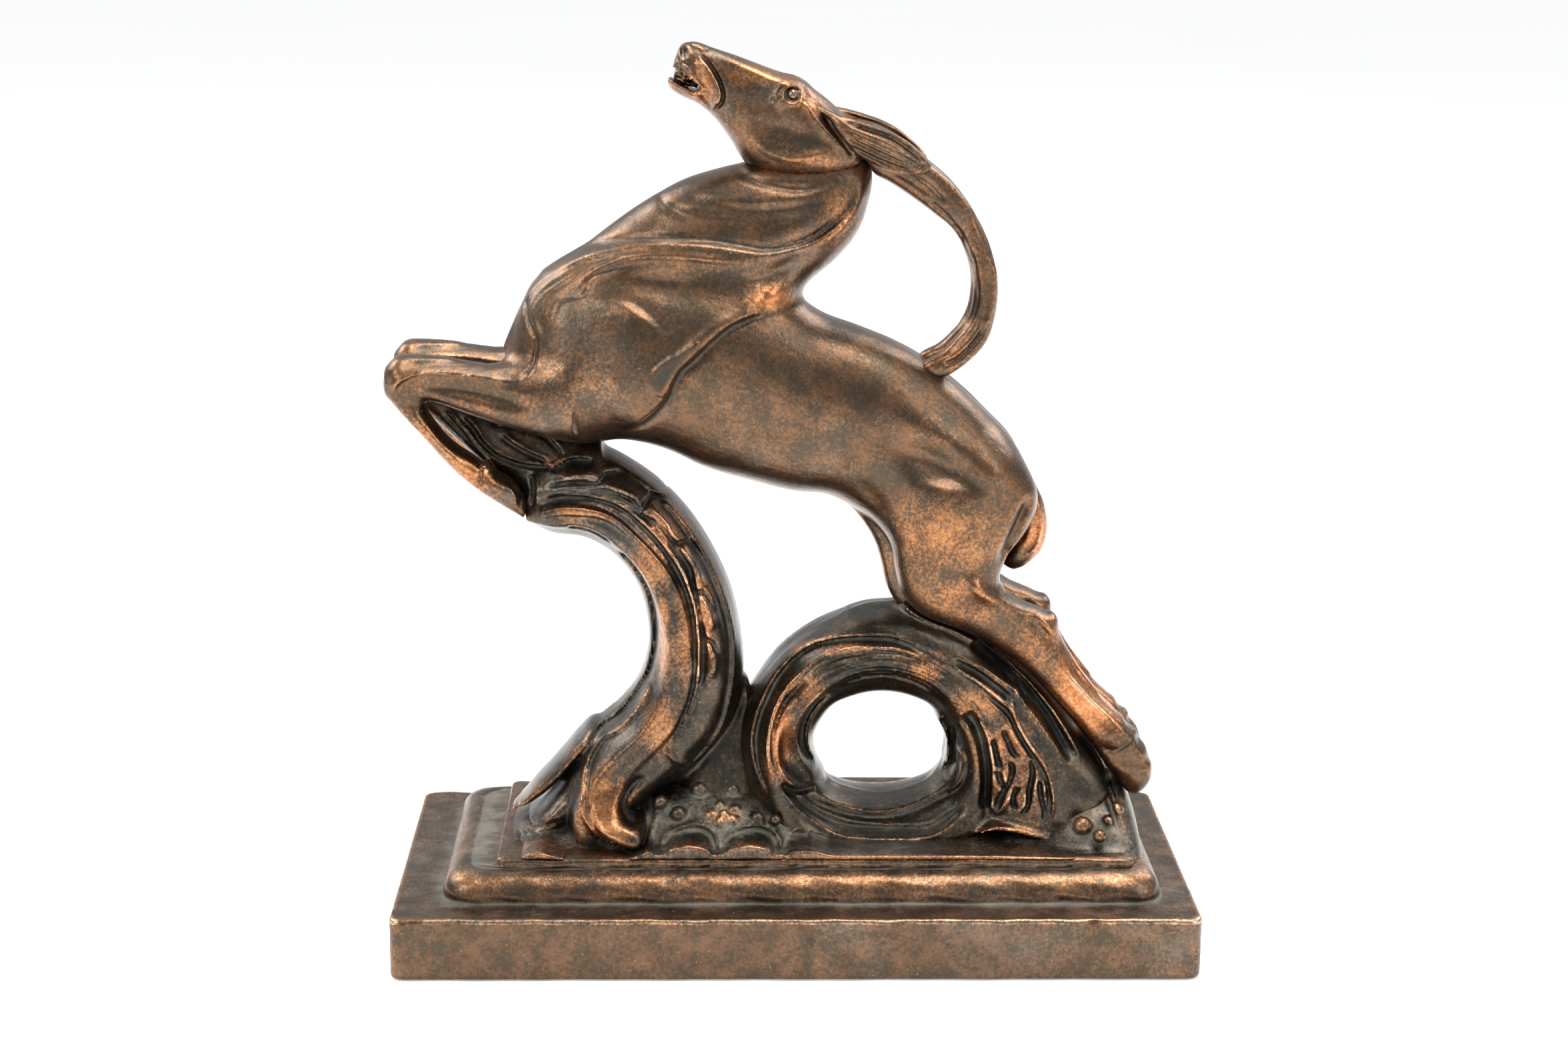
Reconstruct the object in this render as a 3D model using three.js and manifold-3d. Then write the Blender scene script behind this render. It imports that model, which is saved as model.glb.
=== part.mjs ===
// A leaping antelope on two scrolls and a stepped plinth: a hollow-cast, bronze-finished statuette.
// Millimetres, +Z up, +X towards the antelope's tail, -Y towards the viewer.
// The origin is the centre of the felt's underside, on the surface that the statuette stands on.
import * as THREE from "three";
import { mergeVertices } from "three/addons/utils/BufferGeometryUtils.js";
import Module from "manifold-3d";

const wasm = await Module();
wasm.setup();

// ---- Driving dimensions ------------------------------------------------------------------
const GAP = 0.3; // seam between two castings that meet
const PLINTH = { length: 152, depth: 74, block: 12.1, corner: 1.2, edge: 0.5 };
const STEP = { rise: 5.4, left: 9, right: 6.4, side: 8.2, corner: 6 }; // rounded moulding on the block
// upright is a share of STEP.rise, lean a share of TOP.side, and foot the inset of the lowest edge.
const MOULDING = { upright: 0.16, lean: 0.9, foot: 0.4 };
const TOP = { rise: 2, left: 10.2, right: 5, side: 5.2, corner: 1.6, edge: 0.3 }; // platform on the moulding
const PLINTH_WALL = 3;
const FELT = { thickness: 1.2, inset: 0.8 };
const FIGURE_SCALE = 1; // size of everything that stands on the platform
const CAST_WALL = 3.2; // wall of the hollow body casting
const STUD = { diameter: 4, grip: 7, clearance: 0.3 }; // grip: length inside the scroll
const WASHER = { diameter: 9, thickness: 0.8 };
const NUT = { across: 7, thickness: 3.2 };
const NUT_REACH = 1.2; // stud showing past its nut
const PIN = { diameter: 3, length: 15, clearance: 0.3 };
const EYE_DIAMETER = 3.2;
const EYE_STANDS = 0.55; // share of the eye's radius that lies outside the head

// ---- Derived heights ---------------------------------------------------------------------
const BLOCK_FOOT = FELT.thickness + GAP;
const STEP_TOP = PLINTH.block + STEP.rise;
const PLATFORM = STEP_TOP + TOP.rise;
const DRAWN_PLATFORM = 19.5; // height of the platform in the outlines below

// ---- Solids ------------------------------------------------------------------------------
function solidOf(geometry) {
  const bare = geometry.index ? geometry.toNonIndexed() : geometry.clone();
  bare.deleteAttribute("normal");
  bare.deleteAttribute("uv");
  const merged = mergeVertices(bare, 1e-3);
  const vertProperties = new Float32Array(merged.attributes.position.array);
  const triVerts = new Uint32Array(merged.index.array);
  const made = new wasm.Manifold(new wasm.Mesh({ numProp: 3, vertProperties, triVerts }));
  if (made.volume() >= 0) return made;
  for (let i = 0; i < triVerts.length; i += 3) {
    const swap = triVerts[i + 1];
    triVerts[i + 1] = triVerts[i + 2];
    triVerts[i + 2] = swap;
  }
  return new wasm.Manifold(new wasm.Mesh({ numProp: 3, vertProperties, triVerts }));
}

function geometryOf(solid) {
  const mesh = solid.getMesh();
  const geometry = new THREE.BufferGeometry();
  geometry.setAttribute("position", new THREE.BufferAttribute(mesh.vertProperties, 3));
  geometry.setIndex(new THREE.BufferAttribute(mesh.triVerts, 1));
  geometry.computeVertexNormals();
  return geometry;
}

// Joins equal rings of points into one closed skin; open ends get a flat cap.
function skin(rings, closed = false) {
  const n = rings[0].length;
  const points = rings.flat();
  const index = [];
  const bands = closed ? rings.length : rings.length - 1;
  for (let i = 0; i < bands; i++) {
    const here = i * n;
    const next = ((i + 1) % rings.length) * n;
    for (let j = 0; j < n; j++) {
      const k = (j + 1) % n;
      index.push(here + j, here + k, next + k, here + j, next + k, next + j);
    }
  }
  const cap = (start, turned) => {
    const centre = new THREE.Vector3();
    for (let j = 0; j < n; j++) centre.add(points[start + j]);
    points.push(centre.divideScalar(n));
    for (let j = 0; j < n; j++) {
      const k = (j + 1) % n;
      index.push(points.length - 1, start + (turned ? k : j), start + (turned ? j : k));
    }
  };
  if (!closed) {
    cap(0, true);
    cap((rings.length - 1) * n, false);
  }
  const geometry = new THREE.BufferGeometry().setFromPoints(points);
  geometry.setIndex(index);
  return solidOf(geometry);
}

const box = (x0, x1, y0, y1, z0, z1) => {
  const geometry = new THREE.BoxGeometry(x1 - x0, y1 - y0, z1 - z0);
  return solidOf(geometry.translate((x0 + x1) / 2, (y0 + y1) / 2, (z0 + z1) / 2));
};

const rod = (diameter, x, y, z0, z1, sides = 12) => {
  const geometry = new THREE.CylinderGeometry(diameter / 2, diameter / 2, z1 - z0, sides);
  return solidOf(geometry.rotateX(Math.PI / 2).translate(x, y, (z0 + z1) / 2));
};

const FAR = 400; // past the ends of every piece
// Everything on the left of the line from a to b, seen from the front, moved left by shift.
function leftOf(a, b, shift = 0) {
  const along = new THREE.Vector2(b[0] - a[0], b[1] - a[1]).normalize();
  const geometry = new THREE.BoxGeometry(2 * FAR, 2 * FAR, FAR);
  geometry.translate(0, 0, FAR / 2 + shift);
  geometry.rotateY(-Math.atan2(along.y, along.x));
  return solidOf(geometry.translate(a[0], 0, a[1]));
}
const rightOf = (a, b, shift = 0) => leftOf(b, a, shift);

// ---- Sections ----------------------------------------------------------------------------
// A section is a ring of [across, deep] points: across runs from -1 at edge b to 1 at edge a.
function oval(sides, power = 2.2) {
  return Array.from({ length: sides }, (_, i) => {
    const angle = (2 * Math.PI * (i + 0.5)) / sides;
    const squared = (v) => Math.sign(v) * Math.abs(v) ** (2 / power);
    return [squared(Math.cos(angle)), squared(Math.sin(angle))];
  });
}
// A front profile, from edge b to edge a, and the same profile mirrored on the back.
const twoFaced = (profile) => [
  ...profile,
  ...profile.map(([across, deep]) => [across, -deep]).reverse(),
];

const figurePoint = ([x, z]) => [x * FIGURE_SCALE, PLATFORM + (z - DRAWN_PLATFORM) * FIGURE_SCALE];

// A station is [a x, a z, b x, b z, half depth, y]: two edge points as drawn, seen from the front.
// The loft runs smoothly through its stations; grow moves the whole skin outwards.
function loft(stations, { rings = 20, section = oval(20), grow = 0, closed = false, side = 1 } = {}) {
  const curve = (pick) =>
    new THREE.CatmullRomCurve3(stations.map(pick), closed, "catmullrom", 0.5);
  const scaled = (x, z) => new THREE.Vector3(figurePoint([x, z])[0], 0, figurePoint([x, z])[1]);
  const a = curve((s) => scaled(s[0], s[1]));
  const b = curve((s) => scaled(s[2], s[3]));
  const body = curve((s) => new THREE.Vector3(s[4], s[5] ?? 0, 0).multiplyScalar(FIGURE_SCALE));
  const made = [];
  for (let i = 0; i < rings; i++) {
    const t = closed ? i / rings : i / (rings - 1);
    const [pa, pb, pc] = [a.getPoint(t), b.getPoint(t), body.getPoint(t)];
    const half = pa.clone().sub(pb).multiplyScalar(0.5);
    const centre = pa.clone().add(pb).multiplyScalar(0.5);
    half.setLength(half.length() + grow);
    if (!closed && (i === 0 || i === rings - 1)) {
      const step = i === 0 ? 0.01 : -0.01;
      const inner = a.getPoint(t + step).add(b.getPoint(t + step)).multiplyScalar(0.5);
      centre.add(centre.clone().sub(inner).setLength(grow));
    }
    const depth = Math.max(pc.x, 0.2) + grow;
    made.push(
      section.map(([across, deep]) => {
        const p = centre.clone().addScaledVector(half, across);
        return p.setY(side * (pc.y + deep * depth));
      }),
    );
  }
  return skin(made, closed);
}

// ---- Materials ---------------------------------------------------------------------------
const bronze = new THREE.MeshStandardMaterial({ color: 0x8a5a3a, metalness: 0.9, roughness: 0.42 });
const darkBronze = new THREE.MeshStandardMaterial({ color: 0x4a4238, metalness: 0.85, roughness: 0.5 });
const glass = new THREE.MeshStandardMaterial({ color: 0x14100e, metalness: 0, roughness: 0.08 });
const steel = new THREE.MeshStandardMaterial({ color: 0x8c8c88, metalness: 1, roughness: 0.4 });
const felt = new THREE.MeshStandardMaterial({ color: 0x23301f, metalness: 0, roughness: 1 });

const statuette = new THREE.Group();
function add(name, solid, material) {
  const mesh = new THREE.Mesh(geometryOf(solid), material);
  mesh.name = name;
  statuette.add(mesh);
}

// ---- Plinth ------------------------------------------------------------------------------
const CORNER_POINTS = 4;
// One level of the plinth: a rectangle with round corners at height z.
function level(x0, x1, halfDepth, corner, z) {
  const r = Math.max(corner, 0.1);
  const centres = [
    [x1 - r, halfDepth - r],
    [x0 + r, halfDepth - r],
    [x0 + r, -halfDepth + r],
    [x1 - r, -halfDepth + r],
  ];
  return centres.flatMap(([cx, cy], quarter) =>
    Array.from({ length: CORNER_POINTS }, (_, i) => {
      const angle = (Math.PI / 2) * (quarter + i / (CORNER_POINTS - 1));
      return new THREE.Vector3(cx + r * Math.cos(angle), cy + r * Math.sin(angle), z);
    }),
  );
}

const block = { x0: -PLINTH.length / 2, x1: PLINTH.length / 2, y: PLINTH.depth / 2 };
const step = { x0: block.x0 + STEP.left, x1: block.x1 - STEP.right, y: block.y - STEP.side };
const top = { x0: step.x0 + TOP.left, x1: step.x1 - TOP.right, y: step.y - TOP.side };

// The plinth's outside, shrunk by inset on its sides and lowered by it at each flat.
// The moulding's quarter round has this many bands.
function plinthShape(inset, foot, bands) {
  const lay = (part, shrink, corner, z) =>
    level(part.x0 + inset + shrink, part.x1 - inset - shrink, part.y - inset - shrink, corner, z);
  const rings = [
    lay(block, 0, PLINTH.corner, foot),
    lay(block, 0, PLINTH.corner, PLINTH.block - inset - PLINTH.edge),
    lay(block, PLINTH.edge, PLINTH.corner, PLINTH.block - inset),
    lay(step, MOULDING.foot, STEP.corner, PLINTH.block - inset),
  ];
  for (let i = 0; i <= bands; i++) {
    const turn = (Math.PI / 2) * (i / bands);
    const shrink = TOP.side * MOULDING.lean * (1 - Math.cos(turn));
    const risen = MOULDING.upright + (1 - MOULDING.upright) * Math.sin(turn);
    const z = PLINTH.block - inset + STEP.rise * risen;
    rings.push(lay(step, shrink, STEP.corner - 2 * (i / bands), z));
  }
  rings.push(lay(top, 0, TOP.corner, STEP_TOP - inset));
  rings.push(lay(top, TOP.edge, TOP.corner, PLATFORM - inset));
  return skin(rings);
}

const feltSheet = [0, FELT.thickness].map((z) =>
  level(block.x0 + FELT.inset, block.x1 - FELT.inset, block.y - FELT.inset, PLINTH.corner, z),
);

// ---- Outlines of the figure, as drawn ------------------------------------------------------
const TORSO = [
  [-51.5, 122, -54.8, 113, 3],
  [-48.5, 126.6, -52.5, 106, 8.5],
  [-44, 130.4, -48, 98.5, 12.5],
  [-37, 133, -41, 95.6, 15],
  [-27, 134, -33, 96.4, 16.5],
  [-13, 131.5, -25, 94.6, 16.8],
  [-1.5, 125, -17.5, 91, 15.5],
  [5, 120.4, -9, 88.4, 14.8],
  [12, 117.8, -1, 86.4, 14.6],
  [20, 114.3, 6, 85.6, 14.6],
  [28, 108.6, 13, 82, 14.6],
  [35.5, 102.4, 19, 78, 14.6],
  [41.5, 95.8, 26, 75, 14],
  [45, 88.4, 33, 75, 11.6],
  [46.4, 84, 40, 77, 6.5],
];
const NECK = [
  [-47, 127.6, -6, 112, 11],
  [-40, 133.2, -1, 121, 13],
  [-31, 140, 2.2, 126.6, 12.6],
  [-22, 145.2, 7, 131, 11.4],
  [-14, 147.8, 11.2, 136.4, 10],
  [-8.5, 149.4, 13.2, 141.5, 8.6],
  [-3, 151, 13.6, 147, 7],
];
const HEAD = [
  [12.5, 153.5, 12.5, 149.5, 3.5],
  [9.2, 157, 10.5, 147.4, 7.6],
  [5, 161.1, 4.5, 145, 9.6],
  [0.5, 163.8, -3.5, 144.9, 9.8],
  [-4, 165.8, -9.6, 148.3, 8.6],
  [-8, 167.2, -12.8, 153.2, 7.2],
  [-12, 168.7, -15.6, 157, 5.8],
  [-16, 170.2, -18.6, 159.6, 4.9],
  [-19, 171.2, -21.6, 161, 4.5],
  [-21.6, 170.8, -23.8, 162.8, 4],
  [-22.8, 169.2, -24.2, 164.2, 2.8],
];
const MOUTH = { depth: 40, corner: [-18.4, 162.6], upper: [-27, 167.4], lower: [-27, 164.9] };
const FOREARM = [
  [-44, 112, -42, 98.5, 6.5, -9],
  [-50, 111.5, -47, 98.4, 6, -9.2],
  [-56, 112, -54.4, 100.2, 5.4, -9],
  [-62, 112.8, -61, 102.3, 5, -8.6],
  [-69, 113.4, -68, 104.8, 4.8, -8.2],
  [-74.4, 113.2, -73.6, 105, 4.6, -8],
  [-77, 110.8, -76.6, 106, 3.4, -8],
];
const CANNON = [
  [-76.5, 111, -72.5, 109, 3.6, -8],
  [-77.5, 107.4, -70, 105.8, 4.5, -8],
  [-75.4, 103.8, -69.4, 102.6, 4.4, -8],
  [-71, 98.8, -66, 97.4, 4.2, -7.8],
  [-65.2, 92, -61.2, 94.2, 3.9, -7.6],
  [-61, 88.2, -58, 91.6, 3.9, -7.4],
  [-57.6, 85.8, -54.6, 89.8, 4.3, -7.2],
  [-54, 83.5, -51.8, 87, 4, -7],
  [-51.6, 82, -51.2, 84, 2.8, -7],
];
const HIND_LEG = [
  [17, 92, 37, 96.4, 5.6, -6.4],
  [16.6, 84.6, 44.8, 88.4, 6.9, -7.2],
  [18.4, 78, 43.8, 81, 7.3, -7.5],
  [19, 72.5, 40.6, 75.5, 7.2, -7.5],
  [20.4, 67.5, 39, 71, 6.9, -7.4],
  [24, 63.4, 40, 68.5, 6.4, -7.2],
  [30, 60.8, 43.5, 66.4, 5.7, -7],
  [36.5, 57.8, 47, 64.8, 5, -6.8],
  [41.8, 54.4, 49.8, 62, 4.6, -6.6],
  [46, 50.6, 51.8, 57.6, 4.2, -6.5],
  [50.2, 46, 55, 52.4, 3.9, -6.4],
  [54.2, 41.4, 59, 47.4, 3.9, -6.3],
  [58, 36.6, 63.2, 43, 4.1, -6.2],
  [61, 32.6, 66.8, 39, 4.3, -6.1],
  [63, 29.6, 69, 34.8, 4.4, -6],
  [64.8, 27.4, 69.8, 31, 4, -6],
  [66, 26.6, 69, 28.6, 2.6, -6],
];
const TAIL = [
  [46.2, 87.4, 42.6, 87, 2.6],
  [48, 83.4, 43, 82.6, 3.6],
  [48.8, 78.6, 41.8, 78, 4.2],
  [47.8, 74.4, 40.8, 74.6, 4],
  [45, 71.4, 40, 72.6, 3.2],
  [42.6, 70.2, 40.2, 71.4, 1.6],
];
const EAR = [
  [4.6, 159.4, 5.4, 157.6, 1.2, -8.6],
  [7.4, 158.4, 7.4, 155, 2, -9],
  [11.4, 156.6, 10.4, 151.8, 2.4, -9.2],
  [16, 155.4, 15, 149.4, 2.4, -9.2],
  [20, 153.6, 19, 148.2, 2.1, -8.8],
  [23, 151.2, 22.4, 148.4, 1.5, -8.2],
  [24.6, 149.4, 24.2, 148.6, 0.7, -7.8],
];
const HORN = [
  [10.6, 156.6, 11.6, 151, 2.6, -3.4],
  [14.6, 155.8, 14, 147.4, 3.2, -3.6],
  [19.6, 153, 17.4, 145.4, 3.3, -3.6],
  [24.6, 149, 21.6, 142.6, 3.2, -3.5],
  [29.2, 145, 25.4, 139.8, 3, -3.3],
  [33, 140, 28.8, 137, 2.8, -3.1],
  [36, 134, 31.4, 132.8, 2.7, -3],
  [37.6, 127.5, 33, 127.6, 2.6, -2.95],
  [37.5, 121.4, 32.8, 122.2, 2.6, -3],
  [35.9, 115.8, 31.4, 118.6, 2.6, -3.3],
  [32.6, 112, 29.4, 115.8, 2.5, -3.9],
  [29, 109.9, 27.4, 113.4, 2.2, -4.4],
  [26, 109.2, 25.4, 111.8, 1.7, -4.8],
];
const EYE = [-1.4, 162.1];
const HEAD_AT_EYE = 7.2; // half depth of the head's skin there

// ---- Outlines of the scrolls and the ground, as drawn ----------------------------------------
const FRONT_SCROLL = [
  [-52, 87, -51, 80, 9],
  [-47, 92.5, -46.5, 78, 12],
  [-38.5, 94.6, -40, 77, 13.5],
  [-28.5, 89.2, -34.5, 73.6, 14.2],
  [-20, 81, -30.4, 68, 14.6],
  [-13.6, 70, -28.5, 61, 15],
  [-10.6, 60, -28.4, 55, 15],
  [-9.8, 49, -30.3, 48.5, 15.2],
  [-12, 40, -34, 43.4, 15.6],
  [-17, 33.4, -39, 39, 16],
  [-23, 28.6, -43, 33.6, 16.4],
  [-27.6, 25.4, -45.6, 28, 16.8],
  [-29.6, 21, -46, 22.8, 17],
  [-31, 17.5, -44.6, 18, 17],
];
const SCROLL_FACE = twoFaced([
  [-1, 0.2],
  [-0.88, 0.6],
  [-0.72, 0.72],
  [-0.58, 0.96],
  [-0.5, 1],
  [-0.1, 1],
  [-0.04, 0.86],
  [0.5, 0.8],
  [0.62, 0.66],
  [0.9, 0.56],
  [1, 0.2],
]);
const RING = [
  [41, 35.5, 30, 35.5, 12.5],
  [38, 48, 26.6, 43, 13.5],
  [29, 58.5, 22.4, 45.4, 14],
  [17, 63.6, 17, 46.2, 14],
  [6, 59.6, 11.6, 45.4, 14],
  [-4, 52, 7.2, 43, 14],
  [-11, 41, 4, 36, 14],
  [-11, 28, 7, 28, 14],
  [-6, 15, 11.4, 25.6, 14.5],
  [17, 14, 17, 24.6, 14.5],
  [38, 16, 23, 25.8, 14],
  [42, 24, 27.4, 28.4, 12.5],
];
const RING_FACE = twoFaced([
  [-1, 0.16],
  [-0.86, 0.5],
  [-0.6, 0.66],
  [-0.34, 0.86],
  [-0.1, 1],
  [0.2, 1],
  [0.44, 0.86],
  [0.8, 0.76],
  [1, 0.3],
]);
const WAVE = [
  [15, 63.6, 18, 48, 11],
  [22, 64.4, 26, 46, 12.4],
  [29, 62, 31, 40, 13],
  [36, 58.4, 33, 34, 13],
  [43, 53.4, 34.6, 28, 13.2],
  [50, 46.6, 36, 22, 13.6],
  [56.5, 38, 40, 16, 14],
  [60.6, 32, 52, 15, 13.6],
  [62.4, 27, 58, 15, 11],
];
const GROUND = [
  // x, crest height, half depth of the crest, half depth of the foot
  [-56, 20.2, 12, 21.6],
  [-50, 22.4, 10, 22],
  [-40, 24, 12, 22.4],
  [-28, 25.4, 12, 22.6],
  [-14, 27.6, 11, 22.6],
  [0, 24.4, 13, 22.6],
  [16, 22, 15, 22.6],
  [34, 23, 14, 22.6],
  [46, 25.4, 13, 22.4],
  [56, 27, 11, 21.8],
  [62, 24, 9, 21],
  [64, 20.2, 8, 19.6],
];
const LEAF = [
  [-38, 42, -38, 31, 7],
  [-42, 38.6, -41, 28, 8],
  [-46, 33.6, -44.4, 25, 7.6],
  [-50, 29, -48.4, 22, 6.6],
  [-54, 24.8, -52.4, 19, 5],
  [-56.6, 21.8, -55.6, 19, 3],
];
const WEB = [
  // leafy fill between the folded forelegs and the front scroll
  [-73, 106, -71, 101.5, 2.4],
  [-66, 104.4, -64, 95, 3.2],
  [-58, 101.6, -57, 88.4, 4],
  [-50, 99.6, -50, 84, 5],
  [-43, 97.6, -43, 84, 5.6],
];

// ---- Figure solids ---------------------------------------------------------------------------
const near = (stations, options = {}) => loft(stations, options);
const far = (stations, options = {}) => loft(stations, { ...options, side: -1 });

const LEG = { rings: 20, section: oval(12, 2.3) };
const foreleg = (build, grow = 0) =>
  build(FOREARM, { rings: 9, section: oval(10, 2.4), grow }).add(
    build(CANNON, { rings: 12, section: oval(10, 2.3), grow }),
  );
const head = (grow = 0) => loft(HEAD, { rings: 16, section: oval(16, 2.2), grow });
const horn = (build, grow = 0) => build(HORN, { rings: 16, section: oval(8, 2.3), grow });
const ear = (build, grow = 0) => build(EAR, { rings: 8, section: oval(8, 2), grow });
const tail = (grow = 0) => loft(TAIL, { rings: 8, section: oval(10, 2.1), grow });
const leaf = (grow = 0) => loft(LEAF, { rings: 8, section: oval(8), grow });
const frontScroll = (grow = 0) => loft(FRONT_SCROLL, { rings: 22, section: SCROLL_FACE, grow });
const ring = (grow = 0) => loft(RING, { rings: 26, section: RING_FACE, closed: true, grow });
const wave = (grow = 0) => loft(WAVE, { rings: 10, section: oval(12, 3), grow });
const trunk = (grow = 0) => loft(TORSO, { rings: 19, section: oval(20, 2.3), grow });
const neck = (rings, sides, grow = 0) => loft(NECK, { rings, section: oval(sides, 2.3), grow });

// The seam between the body and the hind legs runs from the groin to below the croup.
const HIP = [figurePoint([8, 83.5]), figurePoint([50, 93.5])];
const abovePlatform = box(-FAR, FAR, -FAR, FAR, PLATFORM + GAP, FAR);
const nearHalf = box(-FAR, FAR, -FAR, -GAP / 2, -FAR, FAR);
const farHalf = box(-FAR, FAR, GAP / 2, FAR, -FAR, FAR);

const hindquarters = trunk().add(near(HIND_LEG, LEG)).add(far(HIND_LEG, LEG));
const hollow = loft(TORSO.slice(3, 10), { rings: 7, section: oval(8), grow: -CAST_WALL }).add(
  neck(6, 8, -CAST_WALL),
);

// ---- Fixings: positions as drawn ---------------------------------------------------------------
const STUDS = {
  front_near: [-38, -7],
  front_far: [-38, 7],
  rear_left: [-3, 0],
  rear_right: [45, 0],
};
const PINS = {
  chest: { x: -43, y: 0, joint: 95.5 },
  near_leg: { x: 30, y: -5.5, joint: 61.5 },
  far_leg: { x: 30, y: 5.5, joint: 61.5 },
};
const pinRod = ({ x, y, joint }, room = 0) => {
  const [px, pz] = figurePoint([x, joint]);
  const reach = PIN.length / 2 + room;
  return rod(PIN.diameter + 2 * room, px, y * FIGURE_SCALE, pz - reach, pz + reach);
};
const pinHoles = Object.values(PINS)
  .map((pin) => pinRod(pin, PIN.clearance))
  .reduce((all, hole) => all.add(hole));

const PLINTH_CEILING = PLATFORM - PLINTH_WALL;
const STUD_FOOT = PLINTH_CEILING - WASHER.thickness - NUT.thickness - NUT_REACH - 2 * GAP;
const STUD_TOP = PLATFORM + GAP + STUD.grip;
const studPlace = ([x, y]) => [x * FIGURE_SCALE, y * FIGURE_SCALE];
const studRod = (place, room = 0) => {
  const [x, y] = studPlace(place);
  return rod(STUD.diameter + 2 * room, x, y, STUD_FOOT - room, STUD_TOP + room);
};
const studHoles = Object.values(STUDS)
  .map((place) => studRod(place, STUD.clearance))
  .reduce((all, hole) => all.add(hole));

// ---- Castings ----------------------------------------------------------------------------------
const plinth = plinthShape(0, BLOCK_FOOT, 5)
  .subtract(plinthShape(PLINTH_WALL, -1, 1))
  .subtract(studHoles);
add("plinth", plinth, bronze);
add("felt_pad", skin(feltSheet), felt);

const forelegRoom = foreleg(near, GAP).add(foreleg(far, GAP));
const hindRoom = near(HIND_LEG, { ...LEG, grow: GAP }).add(far(HIND_LEG, { ...LEG, grow: GAP }));
const trunkRoom = trunk(GAP);

const scrollCasting = frontScroll()
  .add(leaf())
  .add(loft(WEB, { rings: 7, section: oval(8, 2.4) }))
  .intersect(abovePlatform);
const ringCasting = ring().add(wave()).intersect(abovePlatform);
const scrollRoom = frontScroll(GAP).add(leaf(GAP));

add(
  "front_scroll",
  scrollCasting.subtract(forelegRoom).subtract(trunkRoom).subtract(studHoles).subtract(pinHoles),
  darkBronze,
);
add(
  "rear_scroll",
  ringCasting
    .subtract(hindRoom)
    .subtract(trunkRoom)
    .subtract(frontScroll(GAP))
    .subtract(studHoles)
    .subtract(pinHoles),
  darkBronze,
);

// A low mound of leaves between the scrolls' feet, with a sloping shoulder all round.
const MOUND = { bands: 14, rim: 0.6, crown: 0.4, inset: 0.5 };
function mound() {
  const crest = new THREE.CatmullRomCurve3(GROUND.map(([x, z]) => new THREE.Vector3(x, 0, z)));
  const widths = new THREE.CatmullRomCurve3(GROUND.map(([x, , c, f]) => new THREE.Vector3(x, c, f)));
  const count = MOUND.bands;
  const rings = Array.from({ length: count }, (_, i) => {
    const t = i / (count - 1);
    const [x, z] = figurePoint([crest.getPoint(t).x, crest.getPoint(t).z]);
    const { y: high, z: low } = widths.getPoint(t).multiplyScalar(FIGURE_SCALE);
    const foot = PLATFORM + GAP;
    const half = [
      [low, foot],
      [low, foot + MOUND.rim],
      [(low + high) / 2, (foot + z) / 2],
      [high, z - MOUND.crown],
      [high / 2, z],
    ];
    const mirrored = half.map(([y, h]) => [-y, h]).reverse();
    return [...half, ...mirrored].map(([y, h]) => new THREE.Vector3(x, y, Math.max(h, foot)));
  });
  return skin(rings);
}
const sheetEdge = { x0: top.x0 + MOUND.inset, x1: top.x1 - MOUND.inset, y: top.y - MOUND.inset };
const topSheet = box(sheetEdge.x0, sheetEdge.x1, -sheetEdge.y, sheetEdge.y, PLATFORM, FAR);
add(
  "ground_relief",
  mound()
    .intersect(topSheet)
    .subtract(scrollRoom)
    .subtract(ring(GAP))
    .subtract(wave(GAP))
    .subtract(hindRoom)
    .subtract(studHoles),
  darkBronze,
);

const earRoom = ear(near, GAP).add(ear(far, GAP));
const hornRoom = horn(near, GAP).add(horn(far, GAP));
add(
  "body",
  hindquarters
    .intersect(leftOf(HIP[0], HIP[1], GAP / 2))
    .add(neck(9, 18))
    .subtract(head(GAP))
    .subtract(hornRoom)
    .subtract(earRoom)
    .subtract(forelegRoom)
    .subtract(tail(GAP))
    .subtract(hollow)
    .subtract(pinHoles),
  bronze,
);

const legs = hindquarters.intersect(rightOf(HIP[0], HIP[1], GAP / 2)).subtract(tail(GAP)).subtract(pinHoles);
add("near_hind_leg", legs.intersect(nearHalf), bronze);
add("far_hind_leg", legs.intersect(farHalf), bronze);
add("near_foreleg", foreleg(near).subtract(pinHoles), bronze);
add("far_foreleg", foreleg(far).subtract(pinHoles), bronze);
add("tail", tail(), bronze);

// ---- Head --------------------------------------------------------------------------------------
const mouthShape = new THREE.Shape(
  [MOUTH.corner, MOUTH.upper, MOUTH.lower].map((p) => new THREE.Vector2(...figurePoint(p))),
);
const mouthCut = solidOf(
  new THREE.ExtrudeGeometry(mouthShape, { depth: MOUTH.depth, bevelEnabled: false })
    .translate(0, 0, -MOUTH.depth / 2)
    .rotateX(Math.PI / 2),
);
const eyeBall = (side, room = 0) => {
  const [x, z] = figurePoint(EYE);
  const radius = (EYE_DIAMETER / 2) * FIGURE_SCALE;
  const y = side * (HEAD_AT_EYE * FIGURE_SCALE - radius * (1 - EYE_STANDS));
  return solidOf(new THREE.SphereGeometry(radius + room, 12, 8).translate(x, y, z));
};
add(
  "head",
  head()
    .subtract(mouthCut)
    .subtract(earRoom)
    .subtract(hornRoom)
    .subtract(eyeBall(-1, GAP))
    .subtract(eyeBall(1, GAP)),
  bronze,
);
add("near_eye", eyeBall(-1), glass);
add("far_eye", eyeBall(1), glass);
add("near_ear", ear(near).subtract(hornRoom), bronze);
add("far_ear", ear(far).subtract(hornRoom), bronze);
add("near_horn", horn(near).subtract(trunkRoom).intersect(nearHalf), bronze);
add("far_horn", horn(far).subtract(trunkRoom).intersect(farHalf), bronze);

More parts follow.
